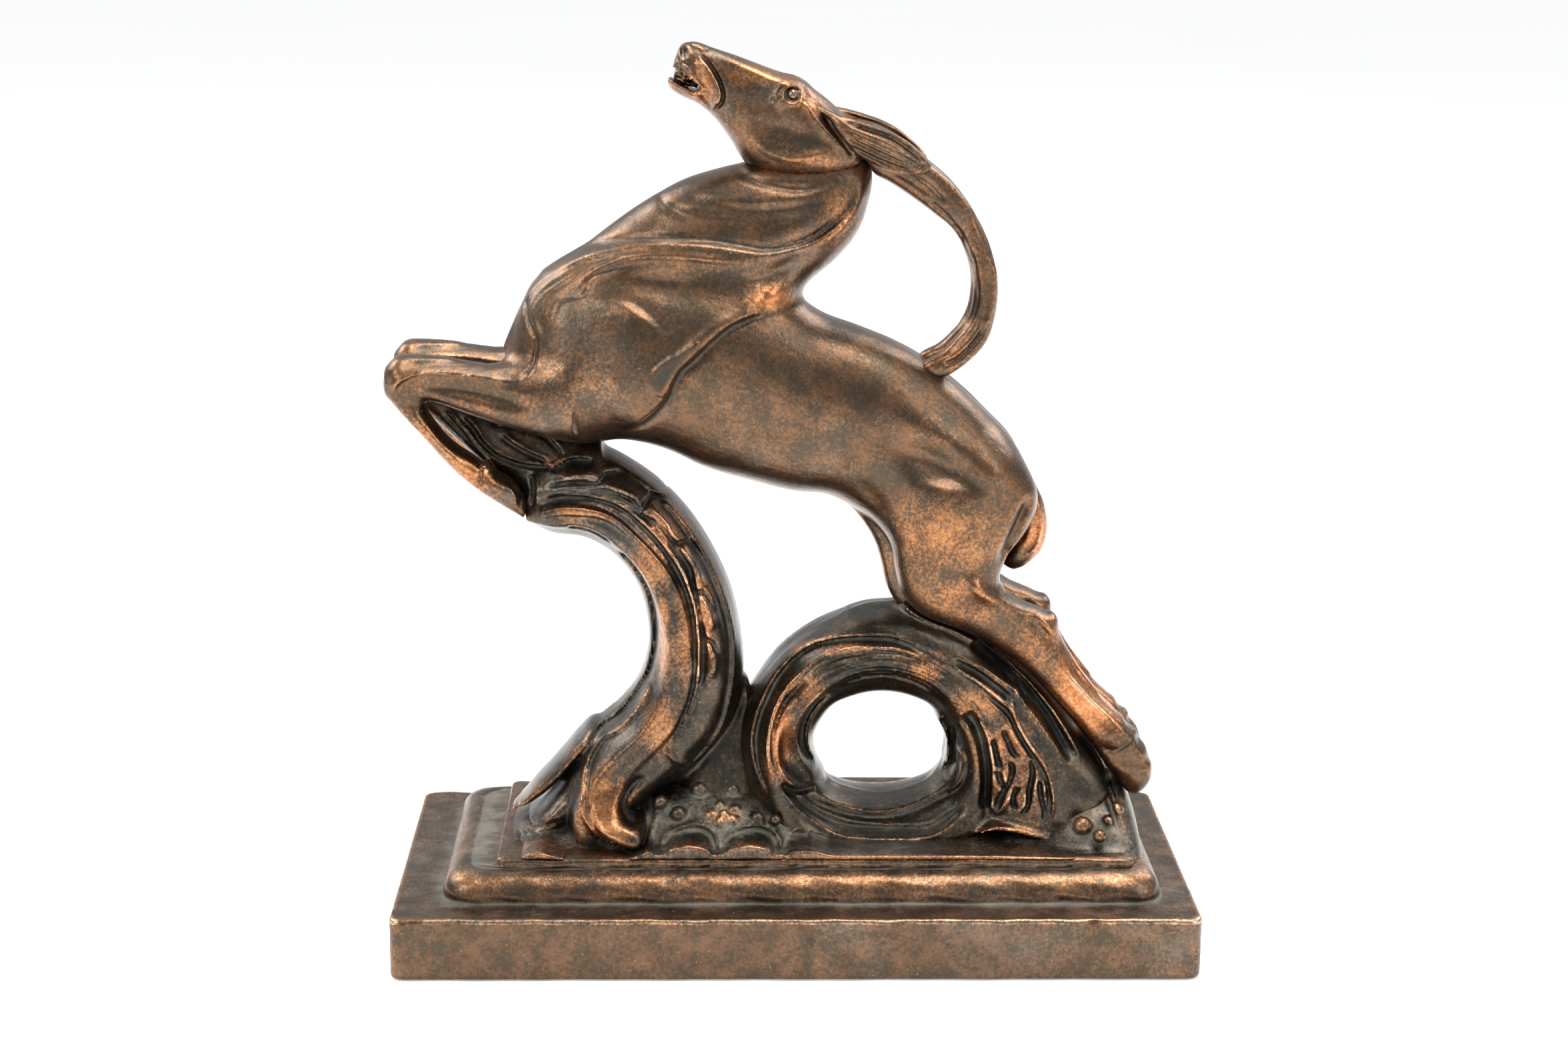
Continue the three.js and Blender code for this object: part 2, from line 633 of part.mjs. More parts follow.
// ---- Fixings -----------------------------------------------------------------------------------
for (const [name, place] of Object.entries(STUDS)) {
  const [x, y] = studPlace(place);
  const washerTop = PLINTH_CEILING - GAP;
  const washerFoot = washerTop - WASHER.thickness;
  const nutTop = washerFoot - GAP;
  const bore = rod(STUD.diameter + 2 * STUD.clearance, x, y, 0, FAR);
  add(`stud_${name}`, studRod(place), steel);
  add(`washer_${name}`, rod(WASHER.diameter, x, y, washerFoot, washerTop).subtract(bore), steel);
  const corners = NUT.across / Math.cos(Math.PI / 6);
  add(`nut_${name}`, rod(corners, x, y, nutTop - NUT.thickness, nutTop, 6).subtract(bore), steel);
}
for (const [name, pin] of Object.entries(PINS)) add(`pin_${name}`, pinRod(pin), steel);

export default statuette;
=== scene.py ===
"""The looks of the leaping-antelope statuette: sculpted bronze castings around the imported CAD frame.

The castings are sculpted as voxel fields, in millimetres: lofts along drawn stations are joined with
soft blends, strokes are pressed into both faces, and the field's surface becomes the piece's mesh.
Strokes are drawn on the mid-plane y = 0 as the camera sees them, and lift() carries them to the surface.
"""

import math

import bmesh
import bpy
import numpy as np
import openvdb
from mathutils import Matrix, Vector


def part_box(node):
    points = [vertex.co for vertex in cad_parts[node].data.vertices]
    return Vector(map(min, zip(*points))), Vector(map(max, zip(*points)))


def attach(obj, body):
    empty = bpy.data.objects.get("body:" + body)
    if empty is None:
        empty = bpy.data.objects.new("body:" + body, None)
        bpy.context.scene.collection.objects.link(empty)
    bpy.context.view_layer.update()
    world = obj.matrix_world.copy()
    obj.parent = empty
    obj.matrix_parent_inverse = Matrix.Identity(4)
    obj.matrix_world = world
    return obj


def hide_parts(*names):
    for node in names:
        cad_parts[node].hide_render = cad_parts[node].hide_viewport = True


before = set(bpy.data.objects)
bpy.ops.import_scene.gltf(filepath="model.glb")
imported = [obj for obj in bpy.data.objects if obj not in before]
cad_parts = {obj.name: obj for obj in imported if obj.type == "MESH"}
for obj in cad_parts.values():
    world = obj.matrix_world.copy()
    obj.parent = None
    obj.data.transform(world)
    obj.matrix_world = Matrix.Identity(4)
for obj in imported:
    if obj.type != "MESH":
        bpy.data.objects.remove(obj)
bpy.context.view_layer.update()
MM = 0.001
rng = np.random.default_rng(7)

# ---- Camera ---------------------------------------------------------------------------------
CAMERA_MM = np.array([-15.58, -554.48, 214.66])
CAMERA_PITCH, CAMERA_YAW, CAMERA_ROLL = (math.radians(a) for a in (13.71, 1.388, 0.45))
CAMERA_LENS = 67.96


def make_camera():
    data = bpy.data.cameras.new("camera")
    data.lens = CAMERA_LENS
    data.sensor_width = 36
    data.clip_start = 0.01
    camera = bpy.data.objects.new("camera", data)
    bpy.context.scene.collection.objects.link(camera)
    look = Matrix.Rotation(-CAMERA_YAW, 4, "Z") @ Matrix.Rotation(math.pi / 2 - CAMERA_PITCH, 4, "X")
    roll = Matrix.Rotation(CAMERA_ROLL, 4, "Z")
    camera.matrix_world = Matrix.Translation(Vector(CAMERA_MM) * MM) @ look @ roll
    bpy.context.scene.camera = camera


make_camera()

# ---- Curves and lofts -------------------------------------------------------------------------


def lift(points, depth):
    """Points seen on the mid-plane, as (x, z), carried to where they lie at this depth in front of it."""
    p = np.atleast_2d(np.asarray(points, float))
    eye = CAMERA_MM[[0, 2]]
    return eye + (p - eye) * (1 + depth / CAMERA_MM[1])


def spline(points, count, closed=False):
    """A Catmull-Rom curve through the points."""
    p = np.asarray(points, float)
    n = len(p)
    if closed:
        p = np.concatenate([p[-1:], p, p[:2]])
        t = np.arange(count) * n / count
    else:
        p = np.concatenate([2 * p[:1] - p[1:2], p, 2 * p[-1:] - p[-2:-1]])
        t = np.linspace(0, n - 1, count)
    i = np.minimum(t.astype(int), n - (1 if closed else 2))
    f = (t - i)[:, None]
    a, b, c, d = (p[i + k] for k in range(4))
    return 0.5 * (2 * b + (c - a) * f + (2 * a - 5 * b + 4 * c - d) * f**2 + (3 * b - a - 3 * c + d) * f**3)


def oval(sides=40, power=2.2):
    angle = 2 * np.pi * (np.arange(sides) + 0.5) / sides
    ring = np.stack([np.cos(angle), np.sin(angle)], -1)
    return np.sign(ring) * np.abs(ring) ** (2 / power)


def two_faced(profile, count=30):
    """A front profile from edge b to edge a, rounded through its points, with its mirror on the back."""
    front = spline(profile, count)
    return np.concatenate([front, (front * [1, -1])[::-1]])


def skin(rings, closed=False):
    """Vertices, quads and triangles of the surface through equal rings; open ends get a flat fan."""
    m, n, _ = rings.shape
    bands = m if closed else m - 1
    i, j = np.meshgrid(np.arange(bands), np.arange(n), indexing="ij")
    after, beside = (i + 1) % m, (j + 1) % n
    quads = np.stack([i * n + j, i * n + beside, after * n + beside, after * n + j], -1).reshape(-1, 4)
    points = rings.reshape(-1, 3)
    if closed:
        return points, quads, np.zeros((0, 3), int)
    points = np.concatenate([points, [rings[0].mean(0), rings[-1].mean(0)]])
    edge = np.arange(n)
    turn = (edge + 1) % n
    last = (m - 1) * n
    foot = np.stack([np.full(n, m * n), turn, edge], -1)
    head = np.stack([np.full(n, m * n + 1), last + edge, last + turn], -1)
    return points, quads, np.concatenate([foot, head])


def loft(stations, section=None, rings=70, closed=False, grow=0.0):
    """A smooth solid through stations of [edge a x, z, edge b x, z, half depth, y]."""
    section = oval() if section is None else section
    full = np.array([list(s) + [0] * (6 - len(s)) for s in stations], float)
    s = spline(full, rings, closed)
    centre = (s[:, 0:2] + s[:, 2:4]) / 2
    half = (s[:, 0:2] - s[:, 2:4]) / 2
    size = np.linalg.norm(half, axis=1, keepdims=True)
    half *= (size + grow) / size
    depth = np.maximum(s[:, 4], 0.2) + grow
    out = np.empty((rings, len(section), 3))
    out[:, :, 0] = centre[:, None, 0] + section[None, :, 0] * half[:, None, 0]
    out[:, :, 2] = centre[:, None, 1] + section[None, :, 0] * half[:, None, 1]
    out[:, :, 1] = s[:, None, 5] + section[None, :, 1] * depth[:, None]
    return skin(out, closed)


def ball(centre, radii, turn=0.0, count=28):
    """An ellipsoid, turned about the y axis."""
    lift_angle = np.linspace(-np.pi / 2, np.pi / 2, count // 2 + 2)[1:-1]
    around = 2 * np.pi * np.arange(count) / count
    u, v = np.meshgrid(lift_angle, around, indexing="ij")
    p = np.stack([np.cos(u) * np.cos(v), np.cos(u) * np.sin(v), np.sin(u)], -1) * radii
    c, s = math.cos(turn), math.sin(turn)
    p = np.stack([c * p[..., 0] - s * p[..., 2], p[..., 1], s * p[..., 0] + c * p[..., 2]], -1)
    return skin(p + centre)


# ---- Voxel clay ---------------------------------------------------------------------------------
REACH = 6.0  # how far from the surface the fields stay exact
COARSE = 1.0


def soft_min(a, b, blend):
    if blend <= 0:
        return np.minimum(a, b)
    near = np.maximum(blend - np.abs(a - b), 0) / blend
    return np.minimum(a, b) - near**2 * blend / 4


class Clay:
    """A block of voxels that lies evenly on both sides of the plane y = 0."""

    def __init__(self, x, y, z, voxel):
        self.voxel = voxel * COARSE
        self.low = np.array(
            [math.floor(x[0] / self.voxel), -math.ceil(y / self.voxel), math.floor(z[0] / self.voxel)],
        )
        high = np.array([math.ceil(x[1] / self.voxel), -self.low[1], math.ceil(z[1] / self.voxel)])
        self.shape = tuple(high - self.low + 1)
        self.field = np.full(self.shape, REACH, np.float32)
        self.x, self.y, self.z = (
            (self.low[k] + np.arange(self.shape[k])) * self.voxel for k in range(3)
        )
        self.relief = np.zeros((self.shape[0], self.shape[2]), np.float32)

    def of(self, solid):
        """The distance to a solid's surface, negative inside it."""
        points, quads, tris = solid
        quads, tris = quads.astype(np.uint32), tris.astype(np.uint32)
        grid = openvdb.FloatGrid.createLevelSetFromPolygons(
            points.astype(np.float32),
            triangles=tris,
            quads=quads,
            transform=openvdb.createLinearTransform(voxelSize=self.voxel),
            halfWidth=REACH / self.voxel,
        )
        out = np.empty(self.shape, np.float32)
        grid.copyToArray(out, ijk=tuple(int(v) for v in self.low))
        return out

    def add(self, solid, blend=0.0):
        self.field = soft_min(self.field, self.of(solid), blend)
        return self

    def cut(self, solid, blend=0.0):
        self.field = -soft_min(-self.field, self.of(solid), blend)
        return self

    def press(self, middle=0.0, plain=4.0):
        """Moves both faces out by the relief drawn so far, less and less towards the middle's outline."""
        share = np.clip(np.abs(self.y - middle) / plain, 0, 1)
        share = (share * share * (3 - 2 * share)).astype(np.float32)
        self.field -= self.relief[:, None, :] * share[None, :, None]
        self.relief[:] = 0
        return self

    # Strokes: each adds to the relief, in millimetres, outwards positive.
    def near(self, points, depth, reach):
        curve = lift(points, depth)
        length = np.linalg.norm(np.diff(curve, axis=0), axis=1).sum()
        curve = spline(curve, max(8, int(length / 0.2)))
        low, high = curve.min(0) - reach, curve.max(0) + reach
        i = slice(*np.searchsorted(self.x, [low[0], high[0]]))
        k = slice(*np.searchsorted(self.z, [low[1], high[1]]))
        grid = np.stack(np.meshgrid(self.x[i], self.z[k], indexing="ij"), -1)
        gap = np.linalg.norm(grid[..., None, :] - curve, axis=-1)
        best = gap.argmin(-1)
        along = np.gradient(curve, axis=0)[best]
        away = grid - curve[best]
        side = np.sign(along[..., 0] * away[..., 1] - along[..., 1] * away[..., 0])
        t = best / (len(curve) - 1)
        return (i, k), gap.min(-1), side, t

    def ridge(self, points, height, width, depth=12.0, ends=0.15):
        """A rounded ridge, or a groove where the height is negative, that fades at its ends."""
        where, gap, _, t = self.near(points, depth, 3 * width)
        fade = np.clip(np.minimum(t, 1 - t) / max(ends, 1e-3), 0, 1) if ends else 1
        self.relief[where] += height * fade * np.exp(-((gap / width) ** 2))
        return self

    def lap(self, points, height, fall, lip=0.6, depth=12.0, ends=0.15):
        """A step whose left side stands proud and falls away softly; its right side drops within lip."""
        where, gap, side, t = self.near(points, depth, 3 * max(fall, lip))
        fade = np.clip(np.minimum(t, 1 - t) / max(ends, 1e-3), 0, 1)
        over = np.exp(-((gap / fall) ** 2))
        under = np.exp(-((gap / lip) ** 2))
        crease = 0.35 * np.exp(-(((gap - 1.4 * lip) / lip) ** 2))
        self.relief[where] += height * fade * np.where(side > 0, over, under - crease)
        return self

    def bump(self, centre, radii, height, turn=0.0, depth=12.0):
        """A soft swelling, or a hollow where the height is negative."""
        x, z = lift(centre, depth)[0]
        reach = 2.6 * max(radii)
        i = slice(*np.searchsorted(self.x, [x - reach, x + reach]))
        k = slice(*np.searchsorted(self.z, [z - reach, z + reach]))
        dx, dz = np.meshgrid(self.x[i] - x, self.z[k] - z, indexing="ij")
        c, s = math.cos(math.radians(turn)), math.sin(math.radians(turn))
        u, v = (c * dx + s * dz) / radii[0], (c * dz - s * dx) / radii[1]
        self.relief[(i, k)] += height * np.exp(-(u**2 + v**2))
        return self

    def mesh(self):
        """The surface: points, quads and triangles."""
        grid = openvdb.FloatGrid()
        grid.copyFromArray(self.field, ijk=tuple(int(v) for v in self.low))
        grid.transform = openvdb.createLinearTransform(voxelSize=self.voxel)
        points, tris, quads = grid.convertToPolygons(isovalue=0, adaptivity=0)
        return np.asarray(points, float), np.asarray(quads, int), np.asarray(tris, int)

    def curvature(self, points, radius):
        """Positive on edges and negative in hollows, at the scale of radius."""
        n = max(1, round(radius / self.voxel))
        soft = self.field.copy()
        for axis in range(3):
            pad = [(n + 1, n) if a == axis else (0, 0) for a in range(3)]
            total = np.cumsum(np.pad(soft, pad, mode="edge"), axis=axis, dtype=np.float64)
            take = [slice(None)] * 3
            drop = [slice(None)] * 3
            take[axis] = slice(2 * n + 1, None)
            drop[axis] = slice(None, -2 * n - 1)
            soft = ((total[tuple(take)] - total[tuple(drop)]) / (2 * n + 1)).astype(np.float32)
        at = points / self.voxel - self.low
        at = np.clip(at, 0, np.array(self.shape) - 1.001)
        i = at.astype(int)
        f = at - i
        out = np.zeros(len(points))
        for corner in np.ndindex(2, 2, 2):
            weight = np.prod(np.where(corner, f, 1 - f), axis=1)
            out += weight * soft[tuple((i + corner).T)]
        return out / radius


# ---- Pieces ---------------------------------------------------------------------------------------


def outward(points, faces):
    """The faces, turned so that they look out."""
    quads = [f for f in faces if len(f)]
    total = 0.0
    for f in quads:
        a, b, c = points[f[:, 0]], points[f[:, 1]], points[f[:, 2]]
        total += np.einsum("ij,ij->i", a, np.cross(b, c)).sum()
        if f.shape[1] == 4:
            total += np.einsum("ij,ij->i", a, np.cross(c, points[f[:, 3]])).sum()
    return [f if total > 0 else f[:, ::-1] for f in quads]


def piece(name, points, faces, slot, nodes, attributes=None):
    """A smooth mesh object, from points in millimetres, that stands for CAD nodes."""
    mesh = bpy.data.meshes.new(name)
    polygons = [p for f in outward(points, faces) for p in f.tolist()]
    mesh.from_pydata((points * MM).tolist(), [], polygons)
    for key, values in (attributes or {}).items():
        layer = mesh.attributes.new(key, "FLOAT", "POINT")
        layer.data.foreach_set("value", np.asarray(values, np.float32))
    mesh.update()
    mesh.shade_smooth()
    obj = bpy.data.objects.new(name, mesh)
    bpy.context.scene.collection.objects.link(obj)
    mesh.materials.append(MATERIALS[slot])
    finish_piece(obj, nodes)
    return obj


def finish_piece(obj, nodes):
    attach(obj, "root")
    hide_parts(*nodes)


def touched(points, spots):
    """How far the patina is rubbed off at each point, from soft spots seen at x, z; a few spots paint a
    highlight and shade instead.

    A spot with a negative amount darkens what the spots before it left, so the order of the spots counts.
    """
    out = np.zeros(len(points))
    eye = CAMERA_MM[[0, 2]]
    seen_at = eye + (points[:, [0, 2]] - eye) / (1 - np.abs(points[:, 1:2]) / -CAMERA_MM[1])
    for x, z, wide, high, amount in spots:
        away = (seen_at - (x, z)) / (wide, high)
        share = amount * np.exp(-((away**2).sum(1) ** 1.5))
        out = np.maximum(out, share) if amount > 0 else out + share
    return out


def cast(clay, name, slot, nodes, mirror=None, rub=(), dust=0.0):
    """The clay's surface as a piece; mirror names the far side's twin and its node."""
    points, quads, tris = clay.mesh()
    marks = {
        "edge": clay.curvature(points, 0.9),
        "form": clay.curvature(points, 2.6),
        "rub": touched(points, rub),
        "dust": np.full(len(points), dust),
    }
    made = piece(name, points, [quads, tris], slot, nodes, marks)
    if mirror:
        piece(mirror[0], points * [1, -1, 1], [quads[:, ::-1], tris[:, ::-1]], slot, mirror[1], marks)
    return made


def split(obj, name, nodes, point, normal):
    """Cuts obj in two at a plane; the part on the normal's side becomes a new piece, both ends capped."""
    other = bpy.data.objects.new(name, obj.data.copy())
    other.data.name = name
    bpy.context.scene.collection.objects.link(other)
    for part, sign in ((obj, -1), (other, 1)):
        bm = bmesh.new()
        bm.from_mesh(part.data)
        geometry = bm.verts[:] + bm.edges[:] + bm.faces[:]
        bmesh.ops.bisect_plane(
            bm,
            geom=geometry,
            plane_co=Vector(point) * MM,
            plane_no=Vector(normal),
            clear_inner=sign > 0,
            clear_outer=sign < 0,
        )
        rim = [e for e in bm.edges if e.is_boundary]
        caps = bmesh.ops.holes_fill(bm, edges=rim, sides=0)["faces"]
        for edge in rim:
            edge.smooth = False
        for cap in caps:
            cap.smooth = False
        bm.to_mesh(part.data)
        bm.free()
    finish_piece(other, nodes)
    return other


# ---- Materials ------------------------------------------------------------------------------------
MATERIALS = {}


class Nodes:
    """A material's nodes, with short calls for the few kinds that the finishes use."""

    def __init__(self, name):
        self.material = bpy.data.materials.new(name)
        self.material.use_nodes = True
        self.tree = self.material.node_tree
        self.shader = self.tree.nodes["Principled BSDF"]
        self.place = self.tree.nodes.new("ShaderNodeTexCoord").outputs["Object"]
        MATERIALS[name] = self.material

    def link(self, value, socket):
        if isinstance(value, bpy.types.NodeSocket):
            self.tree.links.new(value, socket)
        else:
            socket.default_value = value

    def noise(self, scale, detail=4.0, rough=0.55, vector=None):
        node = self.tree.nodes.new("ShaderNodeTexNoise")
        node.inputs["Scale"].default_value = scale
        node.inputs["Detail"].default_value = detail
        node.inputs["Roughness"].default_value = rough
        self.tree.links.new(vector or self.place, node.inputs["Vector"])
        return node.outputs["Fac"]

    def cells(self, scale):
        node = self.tree.nodes.new("ShaderNodeTexVoronoi")
        node.inputs["Scale"].default_value = scale
        self.tree.links.new(self.place, node.inputs["Vector"])
        return node.outputs["Distance"]

    def math(self, kind, a, b=0.0):
        node = self.tree.nodes.new("ShaderNodeMath")
        node.operation = kind
        self.link(a, node.inputs[0])
        self.link(b, node.inputs[1])
        return node.outputs[0]

    def total(self, *terms, start=0.0):
        """start plus each value times its weight."""
        out = start
        for value, weight in terms:
            out = self.math("ADD", out, self.math("MULTIPLY", value, weight))
        return out

    def swing(self, value):
        """A noise value about 0 instead of 0.5."""
        return self.math("SUBTRACT", value, 0.5)

    def ramp(self, value, low, high, a=0.0, b=1.0):
        """value from low..high to a..b, clamped."""
        node = self.tree.nodes.new("ShaderNodeMapRange")
        node.interpolation_type = "SMOOTHSTEP"
        for socket, v in zip(("Value", "From Min", "From Max", "To Min", "To Max"), (value, low, high, a, b)):
            self.link(v, node.inputs[socket])
        return node.outputs[0]

    def mix(self, factor, a, b):
        node = self.tree.nodes.new("ShaderNodeMix")
        node.data_type = "RGBA"
        self.link(factor, node.inputs["Factor"])
        for socket, v in (("A", a), ("B", b)):
            inputs = [s for s in node.inputs if s.name == socket and s.type == "RGBA"]
            self.link(v if isinstance(v, bpy.types.NodeSocket) else (*v, 1), inputs[0])
        return [s for s in node.outputs if s.type == "RGBA"][0]

    def attribute(self, name):
        node = self.tree.nodes.new("ShaderNodeAttribute")
        node.attribute_name = name
        return node.outputs["Fac"]

    def bump(self, height, distance, strength=1.0, normal=None):
        node = self.tree.nodes.new("ShaderNodeBump")
        node.inputs["Distance"].default_value = distance
        node.inputs["Strength"].default_value = strength
        self.link(height, node.inputs["Height"])
        if normal:
            self.link(normal, node.inputs["Normal"])
        return node.outputs["Normal"]

    def set(self, **sockets):
        for name, value in sockets.items():
            self.link(value, self.shader.inputs[name.replace("_", " ")])


COPPER = (0.44, 0.155, 0.058)
AMBER = (0.50, 0.24, 0.096)
# The pale brass of the painted highlight
PAINTED_HIGHLIGHT_BRASS = (0.76, 0.56, 0.385)
BROWN = (0.155, 0.086, 0.049)
UMBER = (0.078, 0.058, 0.040)
SOOT = (0.042, 0.039, 0.034)
OLIVE = (0.115, 0.108, 0.082)
DUST = (0.46, 0.45, 0.41)
POWDER = (0.19, 0.18, 0.15)
ASH = (0.25, 0.225, 0.195)


def bronze(name, shade_a, shade_b, rubbed, soil_and_shade_from):
    """Plated bronze: rubbed copper on the swells, brown patina between, a painted highlight of pale brass on
    sharp edges and strongly rubbed spots, and dusty soiling in the hollows that also paints their shade.
    """
    n = Nodes(name)
    edge = n.attribute("edge")
    form = n.attribute("form")
    touched = n.attribute("rub")
    dusty = n.attribute("dust")
    cloud = n.swing(n.noise(48, 4))
    patch = n.swing(n.noise(190, 6, 0.65))
    speckle = n.swing(n.noise(1500, 4, 0.8))
    fine = n.swing(n.noise(4200, 2, 0.5))
    wear = n.total((touched, 1.0), (edge, 0.55), (form, 0.3), (cloud, 0.7), (patch, 0.8), (speckle, 1.9))
    rub = n.ramp(wear, rubbed - 0.5, rubbed + 0.55)
    # The patina's tone; its form term makes it a little darker in broad hollows, partly painted shade.
    shade = n.mix(n.ramp(n.total((patch, 1.0), (speckle, 1.1), (form, 0.2)), -0.14, 0.14), shade_b, shade_a)
    metal = n.mix(n.ramp(n.total((patch, 0.7), (speckle, 1.2)), -0.12, 0.2), COPPER, AMBER)
    colour = n.mix(rub, shade, metal)
    # Painted highlight: pale brass on sharp edges and strongly rubbed spots, where the lamps would glint.
    painted_highlight = n.ramp(n.total((edge, 1.0), (speckle, 0.9), (touched, 0.42)), 0.4, 0.95, 0, 0.6)
    colour = n.mix(painted_highlight, colour, PAINTED_HIGHLIGHT_BRASS)
    veil = n.ramp(
        n.total((n.swing(n.noise(36, 3)), 1.0), (speckle, 0.3), (touched, -0.25)), 0.02, 0.28, 0, 0.32,
    )
    colour = n.mix(veil, colour, ASH)
    # Darkening in the hollows, from the curvature marks: partly real soiling and dark patina in the recesses,
    # partly painted shade where less light would reach.
    pit = n.total((edge, -1.7), (form, -0.5), (patch, 0.8), (touched, -0.3), (dusty, 0.22))
    soil_and_shade = n.ramp(pit, soil_and_shade_from, soil_and_shade_from + 0.75, 0, 0.9)
    soil_and_shade_tone = n.mix(n.ramp(n.total((cloud, 0.6), (patch, 0.8), (dusty, 0.45)), 0.02, 0.4), SOOT, OLIVE)
    colour = n.mix(soil_and_shade, colour, soil_and_shade_tone)
    settled = n.ramp(n.total((patch, 1.0), (speckle, 1.0), (edge, -0.5)), -0.15, 0.3, 0.1, 0.75)
    powder = n.math("MULTIPLY", dusty, settled)
    powder_tone = n.mix(n.ramp(n.total((cloud, 1.0), (patch, 1.0)), -0.1, 0.2), OLIVE, POWDER)
    colour = n.mix(powder, colour, powder_tone)
    spot = n.math("MULTIPLY", n.ramp(n.cells(120), 0.13, 0.09), n.ramp(n.noise(60, 2), 0.5, 0.6))
    colour = n.mix(n.math("MULTIPLY", spot, 0.55), colour, SOOT)
    fleck = n.ramp(n.cells(560), 0.075, 0.05)
    fleck = n.math("MULTIPLY", fleck, n.ramp(n.noise(230, 2), 0.46, 0.6))
    colour = n.mix(n.math("MULTIPLY", fleck, 0.75), colour, DUST)
    rough = n.ramp(n.total((rub, 1.0), (speckle, 0.9)), -0.2, 1.1, 0.31, 0.23)
    rough = n.total((rough, 1.0), (soil_and_shade, 0.2), (fleck, 0.3), (powder, 0.25))
    grain = n.total((speckle, 0.5), (fine, 0.5))
    normal = n.bump(grain, 0.00011, 0.6)
    normal = n.bump(n.noise(260, 3), 0.0005, 0.3, normal)
    metallic = n.total((soil_and_shade, -0.35), (fleck, -0.5), (powder, -0.5), start=0.97)
    n.set(Base_Color=colour, Roughness=rough, Metallic=metallic, Normal=normal)


def eye_gloss():
    n = Nodes("eye_gloss")
    tone = n.mix(n.ramp(n.noise(800), 0.4, 0.6), (0.10, 0.07, 0.05), (0.24, 0.17, 0.12))
    n.set(Base_Color=tone, Metallic=0.8, Roughness=0.17, Coat_Weight=0.4)


def steel():
    n = Nodes("steel")
    tone = n.mix(n.noise(400, 5), (0.32, 0.32, 0.3), (0.6, 0.6, 0.57))
    n.set(Base_Color=tone, Metallic=1.0, Roughness=n.ramp(n.noise(900), 0.3, 0.7, 0.3, 0.5))


def felt():
    n = Nodes("felt")
    tone = n.mix(n.noise(1800, 6), (0.012, 0.014, 0.011), (0.05, 0.052, 0.045))
    n.set(Base_Color=tone, Roughness=0.95, Normal=n.bump(n.noise(5200, 4), 0.0005, 0.8))


bronze("bronze", BROWN, UMBER, 0.62, 0.42)
bronze("dark_bronze", UMBER, SOOT, 0.62, 0.2)
eye_gloss()
steel()
felt()

# ---- Stations of the figure: [edge a x, z, edge b x, z, half depth, y] ------------------------------
TORSO = [
    [-52.6, 121, -55.6, 114, 4],
    [-49.6, 126.4, -53.2, 106.6, 8.8],
    [-44, 130.2, -48, 98.5, 12.5],
    [-37, 132, -41, 95.6, 15],
    [-27, 132.6, -33, 96.4, 16.5],
    [-13, 130.5, -25, 94.6, 16.8],
    [-1.5, 124.4, -17.5, 91, 15.5],
    [5, 120.2, -9, 88.4, 14.8],
    [12, 117.6, -1, 86.4, 14.6],
    [20, 114.2, 6, 85.6, 14.6],
    [28, 108.8, 13, 82, 14.6],
    [35.5, 102.4, 19, 78, 14.6],
    [41.5, 95.8, 26, 75, 14],
    [45, 88.4, 33, 75, 11.6],
    [46.4, 84, 40, 77, 6.5],
]
NECK = [
    [-47, 127.6, -6, 112, 10.6],
    [-40, 133.2, -1, 121, 12.4],
    [-31, 140, 2, 126.4, 12.2],
    [-22, 145.2, 7, 131, 11.2],
    [-14, 147.8, 11.2, 136.4, 10],
    [-9, 149, 13.2, 141.5, 8.8],
    [-4, 150.4, 13.9, 146, 7.4],
    [2, 153, 13.4, 149.6, 6],
]
HIND_LEG = [
    [17, 92, 37, 96.4, 5.6, -6.4],
    [16.6, 84.6, 44.8, 88.4, 6.9, -7.2],
    [18.4, 78, 43.8, 81, 7.3, -7.5],
    [19, 72.5, 40.6, 75.5, 7.2, -7.5],
    [20.4, 67.5, 39, 71, 6.9, -7.4],
    [24, 63.4, 40, 68.5, 6.4, -7.2],
    [30, 60.8, 43.5, 66.4, 5.7, -7],
    [36.5, 57.8, 47, 64.8, 5, -6.8],
    [41.8, 54.4, 49.8, 62, 4.6, -6.6],
    [46, 50.6, 51.8, 57.6, 4.2, -6.5],
    [50.2, 46, 55, 52.4, 3.9, -6.4],
    [54.2, 41.4, 59, 47.4, 3.9, -6.3],
    [58, 36.6, 63.2, 43, 4.1, -6.2],
    [61, 32.6, 66.8, 39, 4.3, -6.1],
    [63, 29.6, 69, 34.8, 4.4, -6],
    [64.8, 27.4, 69.8, 31, 4, -6],
    [66, 26.6, 69, 28.6, 2.6, -6],
]
HEAD = [
    [12.5, 153.5, 12.5, 149.5, 3.5],
    [9.2, 157, 10.5, 147.4, 7.2],
    [5, 160.9, 4.5, 145.2, 9],
    [0.5, 163.7, -3.5, 145.1, 9.2],
    [-4, 165.6, -9.6, 148.5, 8.2],
    [-8, 167.1, -12.8, 153.3, 6.9],
    [-12, 168.6, -15.6, 157, 5.6],
    [-16, 170, -18.6, 159.6, 4.7],
    [-19, 171, -21.6, 161, 4.3],
    [-21.4, 170.8, -23.8, 162.4, 3.8],
    [-22.6, 169.2, -24.4, 163.8, 2.8],
]
FOREARM = [
    [-44, 112, -42, 98.5, 6.5, -9],
    [-50, 111.5, -47, 98.4, 6, -9.2],
    [-56, 112, -54.4, 100.2, 5.4, -9],
    [-62, 112.8, -61, 102.3, 5, -8.6],
    [-69, 113.4, -68, 104.8, 4.8, -8.2],
    [-74.4, 113.2, -73.6, 105, 4.6, -8],
    [-77, 110.8, -76.6, 106, 3.4, -8],
]
